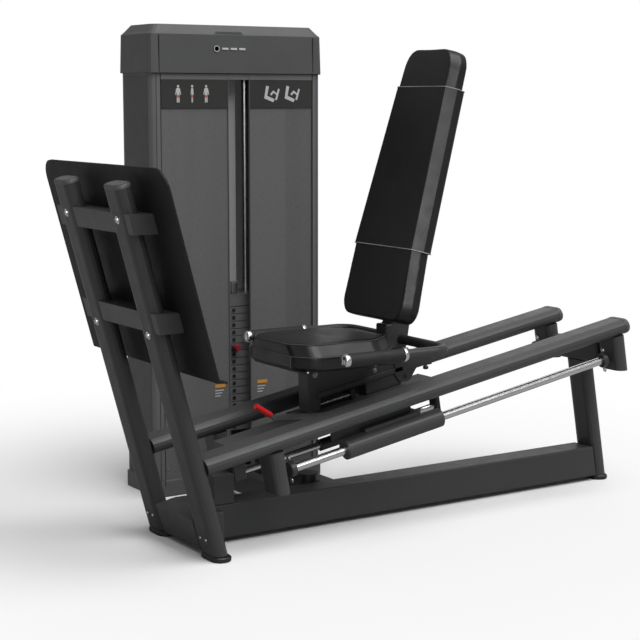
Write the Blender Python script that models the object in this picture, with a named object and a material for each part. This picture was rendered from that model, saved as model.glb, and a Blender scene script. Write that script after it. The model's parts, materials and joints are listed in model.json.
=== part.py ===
"""Seated leg press machine: a sliding seat on inclined guide rods, a fixed footplate and a weight tower.

Metres, +Z up. +X runs from the footplate to the rear leg, +Y from the seat to the weight tower.
The numbers below use the machine's own layout: x = 0 and z = 0 where the front posts' axes meet
the floor, y = 0 on the seat's centre plane. An empty moves the layout so that the origin lies
on the floor under the middle of the whole machine.
"""

import math

import bmesh
import bpy
from mathutils import Matrix, Vector

# Layout
X_MIDDLE = 0.7000
Y_MIDDLE = 0.2208
GAP = 0.0004

# Flat-oval frame tube, its wide side across the machine
TUBE_R = 0.026
TUBE_FLAT = 0.055
ARC_STEPS = 8

# Inclined rails and what runs parallel to them
INCLINE = math.radians(10.0)
RAIL_Y = 0.1775
RAIL_REF = Vector((0.899, 0.0, 0.466))
RAIL_END_X = 1.652
ROD_DROP = 0.107
ROD_R = 0.0145
ROD_FRONT_X = 0.270
ROD_REAR_X = 1.588

# Front posts, footplate
POST_LEAN = math.radians(15.2)
POST_TOP_Z = 1.160
FOOT_H = 0.016
FOOT_LIP = 0.007
PLATE_BACK_X = 0.056
PLATE_Y = 0.036
PLATE_HALF_W = 0.424
PLATE_TOP_Z = 1.206
PLATE_BOTTOM_Z = 0.586
PLATE_T = 0.006
PLATE_CORNER_R = 0.062
PLATE_LIP = 0.034
PLATE_TUBE_H = 0.060
PLATE_TUBE_HALF_W = 0.2505
PLATE_TUBE_Z = (1.043, 0.750)

# Floor frame
BEAM_HALF_W = 0.050
BEAM_Z = (0.017, 0.1285)
REAR_LEG_X = 1.7075
REAR_LEG_LEAN = math.radians(10.0)
REAR_LEG_TOP_Z = 0.452
LINK_X = ((0.410, 0.470), (0.585, 0.645))
LINK_Z = (0.030, 0.100)

# Weight tower
TOWER_X = (0.185, 0.872)
TOWER_Y = (0.583, 0.8215)
TOWER_CX = 0.5285
TOWER_CORNER_R = 0.024
COLUMN_W = 0.036
COLUMN_D = 0.056
SIDE_SHEET_T = 0.010
SIDE_TOP_Z = 1.486
CAP_OVER = 0.008
CAP_SHOULDER_Z = 1.618
CAP_TOP_Z = 1.652
CAP_ROOF_T = 0.012
BASE_H = 0.060
PANEL_T = 0.005
SLOT_HALF_W = 0.044

# Weight stack
STACK_Y = (0.632, 0.774)
STACK_HALF_W = 0.170
STACK_ROD_DX = 0.085
STACK_ROD_R = 0.0125
STACK_ROD_Y = 0.690
PLATE_PITCH = 0.0268
RESTING_PLATES = 11
LIFTED_PLATES = 6
STACK_BOTTOM_Z = 0.1994
HEAD_H = 0.044
PIN_Y_OUT = 0.034

# Belt and its pulleys
BELT_W = 0.028
BELT_T = 0.004
BELT_Y = 0.655
TOP_PULLEY_R = 0.065
TOP_PULLEY_Z = 1.515
SMALL_PULLEY_R = 0.030
SMALL_PULLEY_Z = 0.160
BELT_LOW_Z = SMALL_PULLEY_Z - SMALL_PULLEY_R
FRONT_PULLEY_X = 0.105
BELT_SIDE_Y = 0.071

# Rack: the pulled bar that the seat is pinned to
RACK_TOP_REF = Vector((0.163, 0.0, 0.320))
RACK_HALF_W = 0.052
RACK_H = 0.046
RACK_X = (0.120, 0.930)
SLIDE_ROD_REF = Vector((0.206, 0.0, 0.2135))
SLIDE_ROD_R = 0.0115
SLIDE_ROD_X = (0.196, 0.957)
RACK_HOLES = 9
RACK_HOLE_PITCH = 0.050
RACK_HOLE_R = 0.006

# Seat carriage
CARRIAGE_X = (0.415, 0.805)
SLEEVE_R = 0.0320
SLEEVE_X = (0.474, 0.850)
INNER_SLEEVE_R = 0.0195
INNER_SLEEVE_X = (0.490, 0.864)
SEAT_X = (0.300, 0.700)
SEAT_Z = (0.560, 0.636)
SEAT_HALF_W = 0.200
SEAT_FRONT_HALF_W = 0.137
HANDLE_Y = 0.300
HANDLE_Z = 0.597
HANDLE_R = 0.0165
HANDLE_FRONT_X = 0.384
GRIP_R = 0.0205
GRIP_X = (0.402, 0.612)
HANDLE_REAR_X = 0.800

# Seat-position lever
LEVER_Y = -0.0700
LEVER_GRIP_R = 0.0098
LEVER_GRIP_LENGTH = 0.066

# Backrest
BACK_LEAN = math.radians(16.35)
BACK_LOW_LEAN = math.radians(13.2)
BACK_WAIST = Vector((0.740, 0.0, 0.913))
BACK_Z = (0.676, 1.566)
BACK_T = 0.068
BACK_CHAMFER = (0.034, 0.022)
BACK_WAIST_HALF_W = 0.162
BACK_TAPER = 0.0571
BACK_CORNER_R = 0.062
BACK_POST_HALF_Y = 0.030
BACK_POST_TOP_Z = 0.960


def clear_scene():
    for obj in list(bpy.data.objects):
        bpy.data.objects.remove(obj, do_unlink=True)


def material(name, color, roughness, metallic):
    mat = bpy.data.materials.new(name)
    mat.use_nodes = True
    shader = mat.node_tree.nodes["Principled BSDF"]
    shader.inputs["Base Color"].default_value = (*color, 1.0)
    shader.inputs["Roughness"].default_value = roughness
    shader.inputs["Metallic"].default_value = metallic
    return mat


def make_materials():
    return {
        "frame": material("frame_paint", (0.062, 0.062, 0.064), 0.45, 0.35),
        "plate": material("plate_paint", (0.014, 0.014, 0.015), 0.55, 0.30),
        "chrome": material("chrome", (0.80, 0.80, 0.82), 0.12, 1.0),
        "steel": material("steel", (0.32, 0.32, 0.33), 0.35, 1.0),
        "iron": material("weight_plate", (0.045, 0.045, 0.047), 0.60, 0.40),
        "plastic": material("black_plastic", (0.030, 0.030, 0.032), 0.55, 0.0),
        "cap": material("cap_plastic", (0.070, 0.070, 0.072), 0.50, 0.0),
        "panel": material("smoked_panel", (0.125, 0.125, 0.128), 0.35, 0.0),
        "rubber": material("rubber", (0.020, 0.020, 0.021), 0.80, 0.0),
        "leather": material("upholstery", (0.016, 0.016, 0.017), 0.50, 0.0),
        "belt": material("belt", (0.30, 0.30, 0.31), 0.60, 0.0),
        "red": material("red_grip", (0.62, 0.02, 0.03), 0.45, 0.0),
    }


def finish(name, bm, mat, origin=None, round_shape=False):
    """Makes the object of a bmesh, with its origin at a point of the layout."""
    bmesh.ops.recalc_face_normals(bm, faces=bm.faces[:])
    place = Vector(origin) if origin else Vector((0.0, 0.0, 0.0))
    bmesh.ops.translate(bm, verts=bm.verts[:], vec=-place)
    mesh = bpy.data.meshes.new(name)
    bm.to_mesh(mesh)
    bm.free()
    mesh.materials.append(mat)
    if round_shape:
        mesh.shade_smooth()
        mesh.set_sharp_from_angle(angle=math.radians(35.0))
    obj = bpy.data.objects.new(name, mesh)
    bpy.context.scene.collection.objects.link(obj)
    obj.parent = LAYOUT
    obj.location = place
    return obj


def bevel(obj, width, segments=2, angle=30.0):
    mod = obj.modifiers.new("edges", "BEVEL")
    mod.width = width
    mod.segments = segments
    mod.limit_method = "ANGLE"
    mod.angle_limit = math.radians(angle)
    return obj


def boolean(obj, tool, operation):
    tool.hide_render = True
    tool.display_type = "WIRE"
    mod = obj.modifiers.new(operation.lower(), "BOOLEAN")
    mod.object = tool
    mod.operation = operation
    return obj


def skin(bm, first, second):
    """Closes the sides and the two ends between two loops of equal length."""
    a = [bm.verts.new(p) for p in first]
    b = [bm.verts.new(p) for p in second]
    bm.faces.new(a)
    bm.faces.new(b)
    for i in range(len(a)):
        j = (i + 1) % len(a)
        bm.faces.new((a[i], a[j], b[j], b[i]))


def prism(name, outline, vector, mat, origin=None, round_shape=False):
    bm = bmesh.new()
    points = [Vector(p) for p in outline]
    skin(bm, points, [p + Vector(vector) for p in points])
    return finish(name, bm, mat, origin, round_shape)


def box(name, lo, hi, mat, origin=None):
    outline = [(lo[0], lo[1], lo[2]), (hi[0], lo[1], lo[2]), (hi[0], hi[1], lo[2]), (lo[0], hi[1], lo[2])]
    return prism(name, outline, (0.0, 0.0, hi[2] - lo[2]), mat, origin)


def side_profile(name, points, y_low, y_high, mat, origin=None):
    """A shape drawn in the XZ plane, as wide as y_low to y_high."""
    outline = [(x, y_low, z) for x, z in points]
    return prism(name, outline, (0.0, y_high - y_low, 0.0), mat, origin)


def circle(center, axis, radius, steps):
    """Points of a circle about an axis through its centre."""
    axis = Vector(axis).normalized()
    helper = Vector((0.0, 1.0, 0.0)) if abs(axis.y) < 0.9 else Vector((1.0, 0.0, 0.0))
    u = axis.cross(helper).normalized()
    v = axis.cross(u)
    turns = [2.0 * math.pi * i / steps for i in range(steps)]
    return [Vector(center) + radius * (math.cos(t) * u + math.sin(t) * v) for t in turns]


def rod(name, start, end, radius, mat, steps=20, origin=None):
    axis = Vector(end) - Vector(start)
    outline = circle(start, axis, radius, steps)
    return prism(name, outline, axis, mat, origin, round_shape=True)


def turned(name, center, axis, profile, mat, steps=24):
    """A body of revolution: profile is (distance along the axis, radius) from one end to the other."""
    bm = bmesh.new()
    axis = Vector(axis).normalized()
    rings = []
    for along, radius in profile:
        ring = circle(Vector(center) + axis * along, axis, radius, steps)
        rings.append([bm.verts.new(p) for p in ring])
    for low, high in zip(rings, rings[1:]):
        for i in range(steps):
            j = (i + 1) % steps
            bm.faces.new((low[i], low[j], high[j], high[i]))
    bm.faces.new(rings[0])
    bm.faces.new(rings[-1])
    return finish(name, bm, mat, center, round_shape=True)


def oval(radius, flat, steps=ARC_STEPS):
    """The flat-oval section as (across, through) offsets from its centre."""
    points = []
    for side in (1.0, -1.0):
        for i in range(steps + 1):
            turn = math.pi * (i / steps - 0.5) + (0.0 if side > 0 else math.pi)
            points.append((side * flat / 2 + radius * math.cos(turn), radius * math.sin(turn)))
    return points


def cut_at(start, direction, plane_point, plane_normal):
    """Where a line from start along direction meets a plane."""
    direction = Vector(direction)
    normal = Vector(plane_normal)
    reach = (Vector(plane_point) - start).dot(normal) / direction.dot(normal)
    return start + direction * reach


def oval_bar(name, center, direction, cuts, mat, radius=TUBE_R, flat=TUBE_FLAT):
    """A flat-oval tube, wide across Y, cut by two planes given as (point, normal)."""
    direction = Vector(direction).normalized()
    through = Vector((0.0, 1.0, 0.0)).cross(direction)
    section = [Vector(center) + Vector((0.0, a, 0.0)) + through * b for a, b in oval(radius, flat)]
    bm = bmesh.new()
    loops = [[cut_at(p, direction, point, normal) for p in section] for point, normal in cuts]
    skin(bm, *loops)
    return finish(name, bm, mat, None, round_shape=True)


def along(ref, x):
    """The point at x on the line through ref that runs up the incline."""
    return Vector((x, ref.y, ref.z + (x - ref.x) * math.tan(INCLINE)))


SLOPE = Vector((math.cos(INCLINE), 0.0, math.sin(INCLINE)))
SLOPE_UP = Vector((-math.sin(INCLINE), 0.0, math.cos(INCLINE)))
POST_UP = Vector((-math.sin(POST_LEAN), 0.0, math.cos(POST_LEAN)))
POST_BACK = Vector((math.cos(POST_LEAN), 0.0, math.sin(POST_LEAN)))
LEG_UP = Vector((-math.sin(REAR_LEG_LEAN), 0.0, math.cos(REAR_LEG_LEAN)))
BACK_OUT = Vector((math.cos(BACK_LEAN), 0.0, -math.sin(BACK_LEAN)))
FLOOR_UP = Vector((0.0, 0.0, 1.0))
SIDES = (("near", -1.0), ("far", 1.0))


def post_x(z):
    return -math.tan(POST_LEAN) * z


def plate_back_x(z):
    return PLATE_BACK_X - math.tan(POST_LEAN) * z


def leg_x(z):
    return REAR_LEG_X - math.tan(REAR_LEG_LEAN) * z


def rod_ref():
    return RAIL_REF - SLOPE_UP * ROD_DROP


# Front frame


def front_post(side, sign, mats):
    base = Vector((0.0, sign * RAIL_Y, 0.0))
    top = Vector((post_x(POST_TOP_Z), sign * RAIL_Y, POST_TOP_Z))
    cuts = [((0.0, 0.0, FOOT_H + GAP), FLOOR_UP), (top, POST_UP)]
    post = oval_bar(f"front_post_{side}", base, POST_UP, cuts, mats["frame"])
    bevel(post, 0.004, 2, 60.0)


def foot(name, x, y, mats):
    outline = [(x + b, y + a, 0.0) for a, b in oval(TUBE_R + FOOT_LIP, TUBE_FLAT)]
    pad = prism(name, outline, (0.0, 0.0, FOOT_H), mats["plastic"], round_shape=True)
    bevel(pad, 0.003, 1, 60.0)


def front_cross_member(mats):
    half = RAIL_Y - TUBE_FLAT / 2 - TUBE_R - GAP
    low, front_top, rear_top = BEAM_Z[0], 0.116, BEAM_Z[1]
    front = -0.024
    rear = 0.060
    points = [
        (front, low),
        (rear, low),
        (rear, rear_top),
        (front + 0.040, rear_top),
        (front + post_x(front_top), front_top),
    ]
    bevel(side_profile("front_cross_member", points, -half, half, mats["frame"]), 0.004)


def plate_tube(name, z, mats):
    """A tube across both posts, notched round them, that carries the footplate."""
    low, high = z - PLATE_TUBE_H / 2, z + PLATE_TUBE_H / 2
    front = -TUBE_R / math.cos(POST_LEAN) + 0.004
    points = [
        (post_x(low) + front, low),
        (plate_back_x(low) - GAP, low),
        (plate_back_x(high) - GAP, high),
        (post_x(high) + front, high),
    ]
    tube = side_profile(name, points, -PLATE_TUBE_HALF_W, PLATE_TUBE_HALF_W, mats["frame"])
    for side, sign in SIDES:
        center = Vector((0.0, sign * RAIL_Y, 0.0))
        cuts = [((0.0, 0.0, low - 0.08), FLOOR_UP), ((0.0, 0.0, high + 0.08), FLOOR_UP)]
        notch = oval_bar(f"{name}_{side}_notch", center, POST_UP, cuts, mats["frame"], TUBE_R + GAP)
        boolean(tube, notch, "DIFFERENCE")


def plate_outline(corner_top, corner_bottom):
    """The footplate's outline as (y, distance up the plate) points, with rounded corners."""
    height = (PLATE_TOP_Z - PLATE_BOTTOM_Z) / math.cos(POST_LEAN)
    corners = (
        (PLATE_HALF_W, 0.0, corner_bottom, -0.5),
        (PLATE_HALF_W, height, corner_top, 0.0),
        (-PLATE_HALF_W, height, corner_top, 0.5),
        (-PLATE_HALF_W, 0.0, corner_bottom, 1.0),
    )
    points = []
    steps = 6
    for y, s, radius, first in corners:
        center_y = y - math.copysign(radius, y)
        center_s = s + (radius if s == 0.0 else -radius)
        for i in range(steps + 1):
            turn = math.pi * (first + 0.5 * i / steps)
            points.append((center_y + radius * math.cos(turn), center_s + radius * math.sin(turn)))
    return points


def footplate(mats):
    """The steel footplate with its bottom edge bent towards the feet's heels."""
    corner = Vector((plate_back_x(PLATE_BOTTOM_Z), PLATE_Y, PLATE_BOTTOM_Z))
    outline = [corner + Vector((0.0, y, 0.0)) + POST_UP * s for y, s in plate_outline(PLATE_CORNER_R, 0.006)]
    plate = prism("footplate", outline, POST_BACK * PLATE_T, mats["plate"])
    tip = corner + Vector((PLATE_LIP, 0.0, -0.004))
    half = PLATE_HALF_W - 0.008
    lip_points = [
        (corner.x + 0.0004, corner.z + 0.0003),
        (tip.x, tip.z),
        (tip.x, tip.z + PLATE_T),
        (corner.x + 0.0044, corner.z + 0.008),
    ]
    lip = side_profile("footplate_lip", lip_points, PLATE_Y - half, PLATE_Y + half, mats["plate"])
    boolean(plate, lip, "UNION")


# Rails, guide rods and rear frame


def rail(side, sign, mats):
    center = RAIL_REF + Vector((0.0, sign * RAIL_Y, 0.0))
    front = Vector((TUBE_R / math.cos(POST_LEAN) + GAP, 0.0, 0.0))
    cuts = [(front, POST_BACK), (along(center, RAIL_END_X), SLOPE)]
    oval_bar(f"rail_{side}", center, SLOPE, cuts, mats["frame"])


def stub(name, foot_x, foot_z, y, mats):
    """A short tube that hangs square from a rail and holds one end of a guide rod."""
    low = Vector((foot_x, y, foot_z))
    under_rail = RAIL_REF + Vector((0.0, y, 0.0)) - SLOPE_UP * (TUBE_R + GAP)
    cuts = [(low, FLOOR_UP), (under_rail, SLOPE_UP)]
    return oval_bar(name, low, SLOPE_UP, cuts, mats["frame"])


def stubs(mats):
    for side, sign in SIDES:
        stub(f"front_stub_{side}", 0.220, 0.180, sign * RAIL_Y, mats)
        stub(f"rear_stub_{side}", 1.634, 0.440, sign * RAIL_Y, mats)


def guide_rod(side, sign, mats):
    ref = rod_ref() + Vector((0.0, sign * RAIL_Y, 0.0))
    rod(f"guide_rod_{side}", along(ref, ROD_FRONT_X), along(ref, ROD_REAR_X), ROD_R, mats["chrome"])


def rear_frame(mats):
    center = Vector((REAR_LEG_X, 0.0, 0.0))
    cuts = [((0.0, 0.0, FOOT_H + GAP), FLOOR_UP), ((0.0, 0.0, REAR_LEG_TOP_Z), FLOOR_UP)]
    oval_bar("rear_leg", center, LEG_UP, cuts, mats["frame"])
    half = RAIL_Y - TUBE_FLAT / 2 - TUBE_R - GAP
    low, high = REAR_LEG_TOP_Z + GAP, REAR_LEG_TOP_Z + 0.080
    x_low, x_high = leg_x(low), leg_x(high)
    points = [(x_low - 0.026, low), (x_low + 0.026, low), (x_high + 0.026, high), (x_high - 0.026, high)]
    bevel(side_profile("rear_cross_tube", points, -half, half, mats["frame"]), 0.008, 2)


def base_beam(mats):
    rear_low = leg_x(BEAM_Z[0]) - TUBE_R / math.cos(REAR_LEG_LEAN) - GAP
    rear_high = leg_x(BEAM_Z[1]) - TUBE_R / math.cos(REAR_LEG_LEAN) - GAP
    front = 0.060 + GAP
    points = [(front, BEAM_Z[0]), (rear_low, BEAM_Z[0]), (rear_high, BEAM_Z[1]), (front, BEAM_Z[1])]
    bevel(side_profile("base_beam", points, -BEAM_HALF_W, BEAM_HALF_W, mats["frame"]), 0.005, 2)


def link_beams(mats):
    for name, (x_low, x_high) in zip(("link_beam_front", "link_beam_rear"), LINK_X):
        low = (x_low, BEAM_HALF_W + GAP, LINK_Z[0])
        high = (x_high, TOWER_Y[0] - GAP, LINK_Z[1])
        bevel(box(name, low, high, mats["frame"]), 0.004)


def stop_bracket(mats):
    """The box on the base beam that the rack rests against."""
    low = (0.064, -BEAM_HALF_W, BEAM_Z[1] + GAP)
    high = (0.138, BEAM_HALF_W, 0.224)
    bevel(box("stop_bracket", low, high, mats["frame"]), 0.003)


# Weight tower


def quarter(cx, cy, radius, first, steps=4):
    turns = [math.pi * (first + 0.5 * i / steps) for i in range(steps + 1)]
    return [(cx + radius * math.cos(t), cy + radius * math.sin(t)) for t in turns]


def tower_side(name, mirror, mats):
    """Two corner columns joined by a sheet: one welded side of the tower."""
    x0 = TOWER_X[0]
    y0, y1 = TOWER_Y
    r = TOWER_CORNER_R
    points = quarter(x0 + r, y1 - r, r, 0.5) + quarter(x0 + r, y0 + r, r, 1.0)
    points += [
        (x0 + COLUMN_W, y0),
        (x0 + COLUMN_W, y0 + COLUMN_D),
        (x0 + SIDE_SHEET_T, y0 + COLUMN_D),
        (x0 + SIDE_SHEET_T, y1 - COLUMN_D),
        (x0 + COLUMN_W, y1 - COLUMN_D),
        (x0 + COLUMN_W, y1),
    ]
    if mirror:
        points = [(2.0 * TOWER_CX - x, y) for x, y in points]
    low = BASE_H + GAP
    prism(name, [(x, y, low) for x, y in points], (0.0, 0.0, SIDE_TOP_Z - low), mats["frame"], None, True)


def tower_base(mats):
    low = (TOWER_X[0], TOWER_Y[0], 0.0)
    high = (TOWER_X[1], TOWER_Y[1], BASE_H)
    bevel(box("tower_base", low, high, mats["frame"]), 0.004)


def tower_cap(mats):
    """The moulded cap: chamfered towards a raised roof and open underneath."""
    x0, x1 = TOWER_X[0] - CAP_OVER, TOWER_X[1] + CAP_OVER
    y0, y1 = TOWER_Y[0] - CAP_OVER, TOWER_Y[1] + CAP_OVER

    def ring(inset, r, z):
        corners = ((x1, y0, 1.5), (x1, y1, 0.0), (x0, y1, 0.5), (x0, y0, 1.0))
        points = []
        for x, y, first in corners:
            cx = x - math.copysign(inset + r, x - TOWER_CX)
            cy = y - math.copysign(inset + r, y - (y0 + y1) / 2)
            points += [(px, py, z) for px, py in quarter(cx, cy, r, first)]
        return points

    bm = bmesh.new()
    wall = 0.006
    shape = (
        (wall, 0.020, SIDE_TOP_Z + GAP),
        (0.0, 0.030, SIDE_TOP_Z + GAP),
        (0.003, 0.030, CAP_SHOULDER_Z),
        (0.012, 0.030, CAP_SHOULDER_Z + 0.010),
        (0.030, 0.030, CAP_TOP_Z),
    )
    inner = ((0.040, 0.020, CAP_TOP_Z - CAP_ROOF_T), (wall + 0.006, 0.020, CAP_SHOULDER_Z - 0.010))
    rings = [[bm.verts.new(p) for p in ring(*spec)] for spec in shape]
    inner_rings = [[bm.verts.new(p) for p in ring(*spec)] for spec in inner]
    bm.faces.new(rings[-1])
    bm.faces.new(inner_rings[0])
    loops = inner_rings + rings
    for low, high in zip(loops, loops[1:]):
        for i in range(len(low)):
            j = (i + 1) % len(low)
            bm.faces.new((low[i], low[j], high[j], high[i]))
    finish("tower_cap", bm, mats["cap"], None, round_shape=True)


def tower_panels(mats):
    y = TOWER_Y[0] + 0.004
    inner = TOWER_X[0] + COLUMN_W + GAP
    low, high = BASE_H + GAP, SIDE_TOP_Z
    left = ((inner, y, low), (TOWER_CX - SLOT_HALF_W, y + PANEL_T, high))
    right = ((TOWER_CX + SLOT_HALF_W, y, low), (2.0 * TOWER_CX - inner, y + PANEL_T, high))
    box("front_panel_left", *left, mats["panel"])
    box("front_panel_right", *right, mats["panel"])
    back_y = TOWER_Y[1] - 0.010
    back = ((inner, back_y, low), (2.0 * TOWER_CX - inner, back_y + PANEL_T, high))
    box("back_panel", *back, mats["panel"])


# Weight stack


def ribbed_stack(name, count, bottom, mats):
    """Weight plates on one core: shallow grooves part each plate from the next."""
    groove = 0.0028
    depth = 0.004
    half_w = STACK_HALF_W
    y0, y1 = STACK_Y

    def loop(inset, z):
        x_low, x_high = TOWER_CX - half_w + inset, TOWER_CX + half_w - inset
        return [(x_low, y0 + inset, z), (x_high, y0 + inset, z), (x_high, y1 - inset, z), (x_low, y1 - inset, z)]

    bm = bmesh.new()
    levels = []
    for i in range(count):
        z = bottom + i * PLATE_PITCH
        top = z + PLATE_PITCH - groove
        levels += [(0.0, z), (0.0, top)]
        if i < count - 1:
            levels += [(depth, top), (depth, z + PLATE_PITCH)]
    loops = [[bm.verts.new(p) for p in loop(inset, z)] for inset, z in levels]
    bm.faces.new(loops[0])
    bm.faces.new(loops[-1])
    for low, high in zip(loops, loops[1:]):
        for i in range(4):
            j = (i + 1) % 4
            bm.faces.new((low[i], low[j], high[j], high[i]))
    stack = finish(name, bm, mats["iron"])
    cut_rod_holes(stack, name, bottom, bottom + count * PLATE_PITCH, mats)
    return stack


def cut_rod_holes(obj, name, low, high, mats):
    for i, sign in enumerate((-1.0, 1.0)):
        x = TOWER_CX + sign * STACK_ROD_DX
        start = (x, STACK_ROD_Y, low - 0.02)
        end = (x, STACK_ROD_Y, high + 0.02)
        hole = rod(f"{name}_rod_hole_{i}", start, end, STACK_ROD_R + 0.0015, mats["iron"], 16)
        boolean(obj, hole, "DIFFERENCE")


def cut_pin_hole(obj, z, mats):
    start = (TOWER_CX, STACK_Y[0] - 0.02, z)
    end = (TOWER_CX, STACK_Y[0] + 0.062, z)
    hole = rod("pin_hole", start, end, 0.0058, mats["iron"], 12)
    boolean(obj, hole, "DIFFERENCE")


def weight_stack(mats):
    ribbed_stack("resting_weight_plates", RESTING_PLATES, STACK_BOTTOM_Z, mats)
    lifted_z = STACK_BOTTOM_Z + RESTING_PLATES * PLATE_PITCH
    lifted = ribbed_stack("lifted_weight_plates", LIFTED_PLATES, lifted_z, mats)
    pin_z = lifted_z + 0.5 * (PLATE_PITCH - 0.0028)
    cut_pin_hole(lifted, pin_z, mats)
    head_low = lifted_z + LIFTED_PLATES * PLATE_PITCH
    stack_head(head_low, mats)
    selector_pin(pin_z, mats)
    for side, sign in (("left", -1.0), ("right", 1.0)):
        x = TOWER_CX + sign * STACK_ROD_DX
        start = (x, STACK_ROD_Y, BASE_H + GAP)
        rod(f"stack_rod_{side}", start, (x, STACK_ROD_Y, SIDE_TOP_Z), STACK_ROD_R, mats["chrome"], 16)
    stack_buffer(mats)


def stack_buffer(mats):
    """The rubber-faced block that the weight plates rest on."""
    reach = STACK_ROD_DX + 0.035
    low = (TOWER_CX - reach, STACK_ROD_Y - 0.040, BASE_H + GAP)
    high = (TOWER_CX + reach, STACK_ROD_Y + 0.024, STACK_BOTTOM_Z - GAP)
    block = box("stack_buffer", low, high, mats["rubber"])
    cut_rod_holes(block, "stack_buffer", low[2], high[2], mats)


def stack_head(low, mats):
    """The top plate, with the block that the belt is clamped in."""
    y0, y1 = STACK_Y
    head = box(
        "stack_head",
        (TOWER_CX - STACK_HALF_W, y0, low),
        (TOWER_CX + STACK_HALF_W, y1, low + HEAD_H),
        mats["iron"],
    )
    cut_rod_holes(head, "stack_head", low, low + HEAD_H, mats)
    clamp = box(
        "belt_clamp",
        (TOWER_CX - 0.012, BELT_Y - 0.010, low + HEAD_H - 0.004),
        (TOWER_CX + 0.030, BELT_Y + 0.010, low + HEAD_H + 0.045),
        mats["steel"],
    )
    boolean(head, clamp, "UNION")


def selector_pin(z, mats):
    front = STACK_Y[0]
    profile = [
        (-0.058, 0.0050),
        (0.0, 0.0050),
        (0.0004, 0.0075),
        (0.010, 0.0075),
        (0.012, 0.0130),
        (0.026, 0.0140),
        (PIN_Y_OUT, 0.0100),
    ]
    center = (TOWER_CX, front - 0.0008, z)
    turned("selector_pin", center, (0.0, -1.0, 0.0), profile, mats["red"], 20)


# Belt drive


def pulley(name, center, axis, radius, mats):
    """A flanged wheel for the flat belt."""
    half = BELT_W / 2 + 0.002
    rim = radius + 0.006
    profile = [
        (-half - 0.004, rim),
        (-half - 0.001, rim),
        (-half, radius),
        (half, radius),
        (half + 0.001, rim),
        (half + 0.004, rim),
    ]
    turned(name, center, axis, profile, mats["plastic"], 28)


def belt_center_x():
    return TOWER_CX + 0.009


def pulleys(mats):
    x = belt_center_x()
    r = SMALL_PULLEY_R
    across = (1.0, 0.0, 0.0)
    back_y = BELT_Y + 2.0 * TOP_PULLEY_R
    pulley("top_pulley", (x, BELT_Y + TOP_PULLEY_R, TOP_PULLEY_Z), across, TOP_PULLEY_R, mats)
    pulley("tower_pulley", (x, back_y - r, SMALL_PULLEY_Z), across, r, mats)
    pulley("corner_pulley", (x - r, BELT_SIDE_Y + r, BELT_LOW_Z), (0.0, 0.0, 1.0), r, mats)
    pulley("front_pulley", (FRONT_PULLEY_X, BELT_SIDE_Y, SMALL_PULLEY_Z), (0.0, 1.0, 0.0), r, mats)


def belts(mats):
    x = belt_center_x()
    half = BELT_W / 2
    head_top = STACK_BOTTOM_Z + (RESTING_PLATES + LIFTED_PLATES) * PLATE_PITCH + HEAD_H + 0.045
    belt_box("lift_belt", (x, BELT_Y - BELT_T), (head_top + GAP, TOP_PULLEY_Z), half, mats)


def belt_box(name, corner, heights, half, mats):
    x, y = corner
    box(name, (x - half, y, heights[0]), (x + half, y + BELT_T - GAP, heights[1]), mats["belt"])


# Rack


def incline_box(name, ref, x_low, x_high, down, up, y_low, y_high, mat):
    """A block in line with the incline, between two distances from the line through ref."""
    corners = [(x_low, -down), (x_high, -down), (x_high, up), (x_low, up)]
    points = [along(ref, x) + SLOPE_UP * n for x, n in corners]
    return side_profile(name, [(p.x, p.z) for p in points], y_low, y_high, mat)


def rack(mats):
    beam = incline_box(
        "rack_beam", RACK_TOP_REF, *RACK_X, RACK_H, 0.0, -RACK_HALF_W, RACK_HALF_W, mats["frame"]
    )
    for i in range(RACK_HOLES):
        x = RACK_X[0] + 0.110 + i * RACK_HOLE_PITCH
        middle = along(RACK_TOP_REF, x) - SLOPE_UP * RACK_H / 2
        start = middle + Vector((0.0, RACK_HALF_W + 0.01, 0.0))
        end = middle + Vector((0.0, 0.010, 0.0))
        boolean(beam, rod(f"rack_hole_{i}", start, end, RACK_HOLE_R, mats["frame"], 12), "DIFFERENCE")
    start = along(SLIDE_ROD_REF, SLIDE_ROD_X[0])
    end = along(SLIDE_ROD_REF, SLIDE_ROD_X[1])
    rod("rack_rod", start, end, SLIDE_ROD_R, mats["chrome"])
    rack_ends(mats)


def rack_ends(mats):
    """The front block takes the belt; the rear block carries the rod's rubber stop."""
    rod_to_beam = RACK_TOP_REF.z + (SLIDE_ROD_REF.x - RACK_TOP_REF.x) * math.tan(INCLINE) - SLIDE_ROD_REF.z
    up = rod_to_beam * math.cos(INCLINE) - RACK_H - GAP
    ref = SLIDE_ROD_REF
    front = incline_box("rack_front_block", ref, 0.150, 0.1955, 0.018, up, -0.030, 0.086, mats["frame"])
    bevel(front, 0.003, 1)
    rear = incline_box("rack_rear_block", ref, 0.9575, 0.975, 0.018, up, -0.022, 0.022, mats["rubber"])
    bevel(rear, 0.003, 1)


# Seat carriage


def sleeve(name, ref, x_low, x_high, outer, inner, mat):
    """A bearing tube round a rod, in line with the incline."""
    steps = 24
    low, high = along(ref, x_low), along(ref, x_high)
    specs = ((low, inner), (low, outer), (high, outer), (high, inner))
    bm = bmesh.new()
    rings = [[bm.verts.new(p) for p in circle(c, SLOPE, r, steps)] for c, r in specs]
    for first, second in zip(rings, rings[1:] + rings[:1]):
        for i in range(steps):
            j = (i + 1) % steps
            bm.faces.new((first[i], first[j], second[j], second[i]))
    return finish(name, bm, mat, None, round_shape=True)


def sleeves(mats):
    for side, sign in SIDES:
        ref = rod_ref() + Vector((0.0, sign * RAIL_Y, 0.0))
        sleeve(f"bearing_sleeve_{side}", ref, *SLEEVE_X, SLEEVE_R, ROD_R + 0.0006, mats["frame"])
    ref = SLIDE_ROD_REF
    sleeve("inner_sleeve", ref, *INNER_SLEEVE_X, INNER_SLEEVE_R, SLIDE_ROD_R + 0.0006, mats["plastic"])


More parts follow.
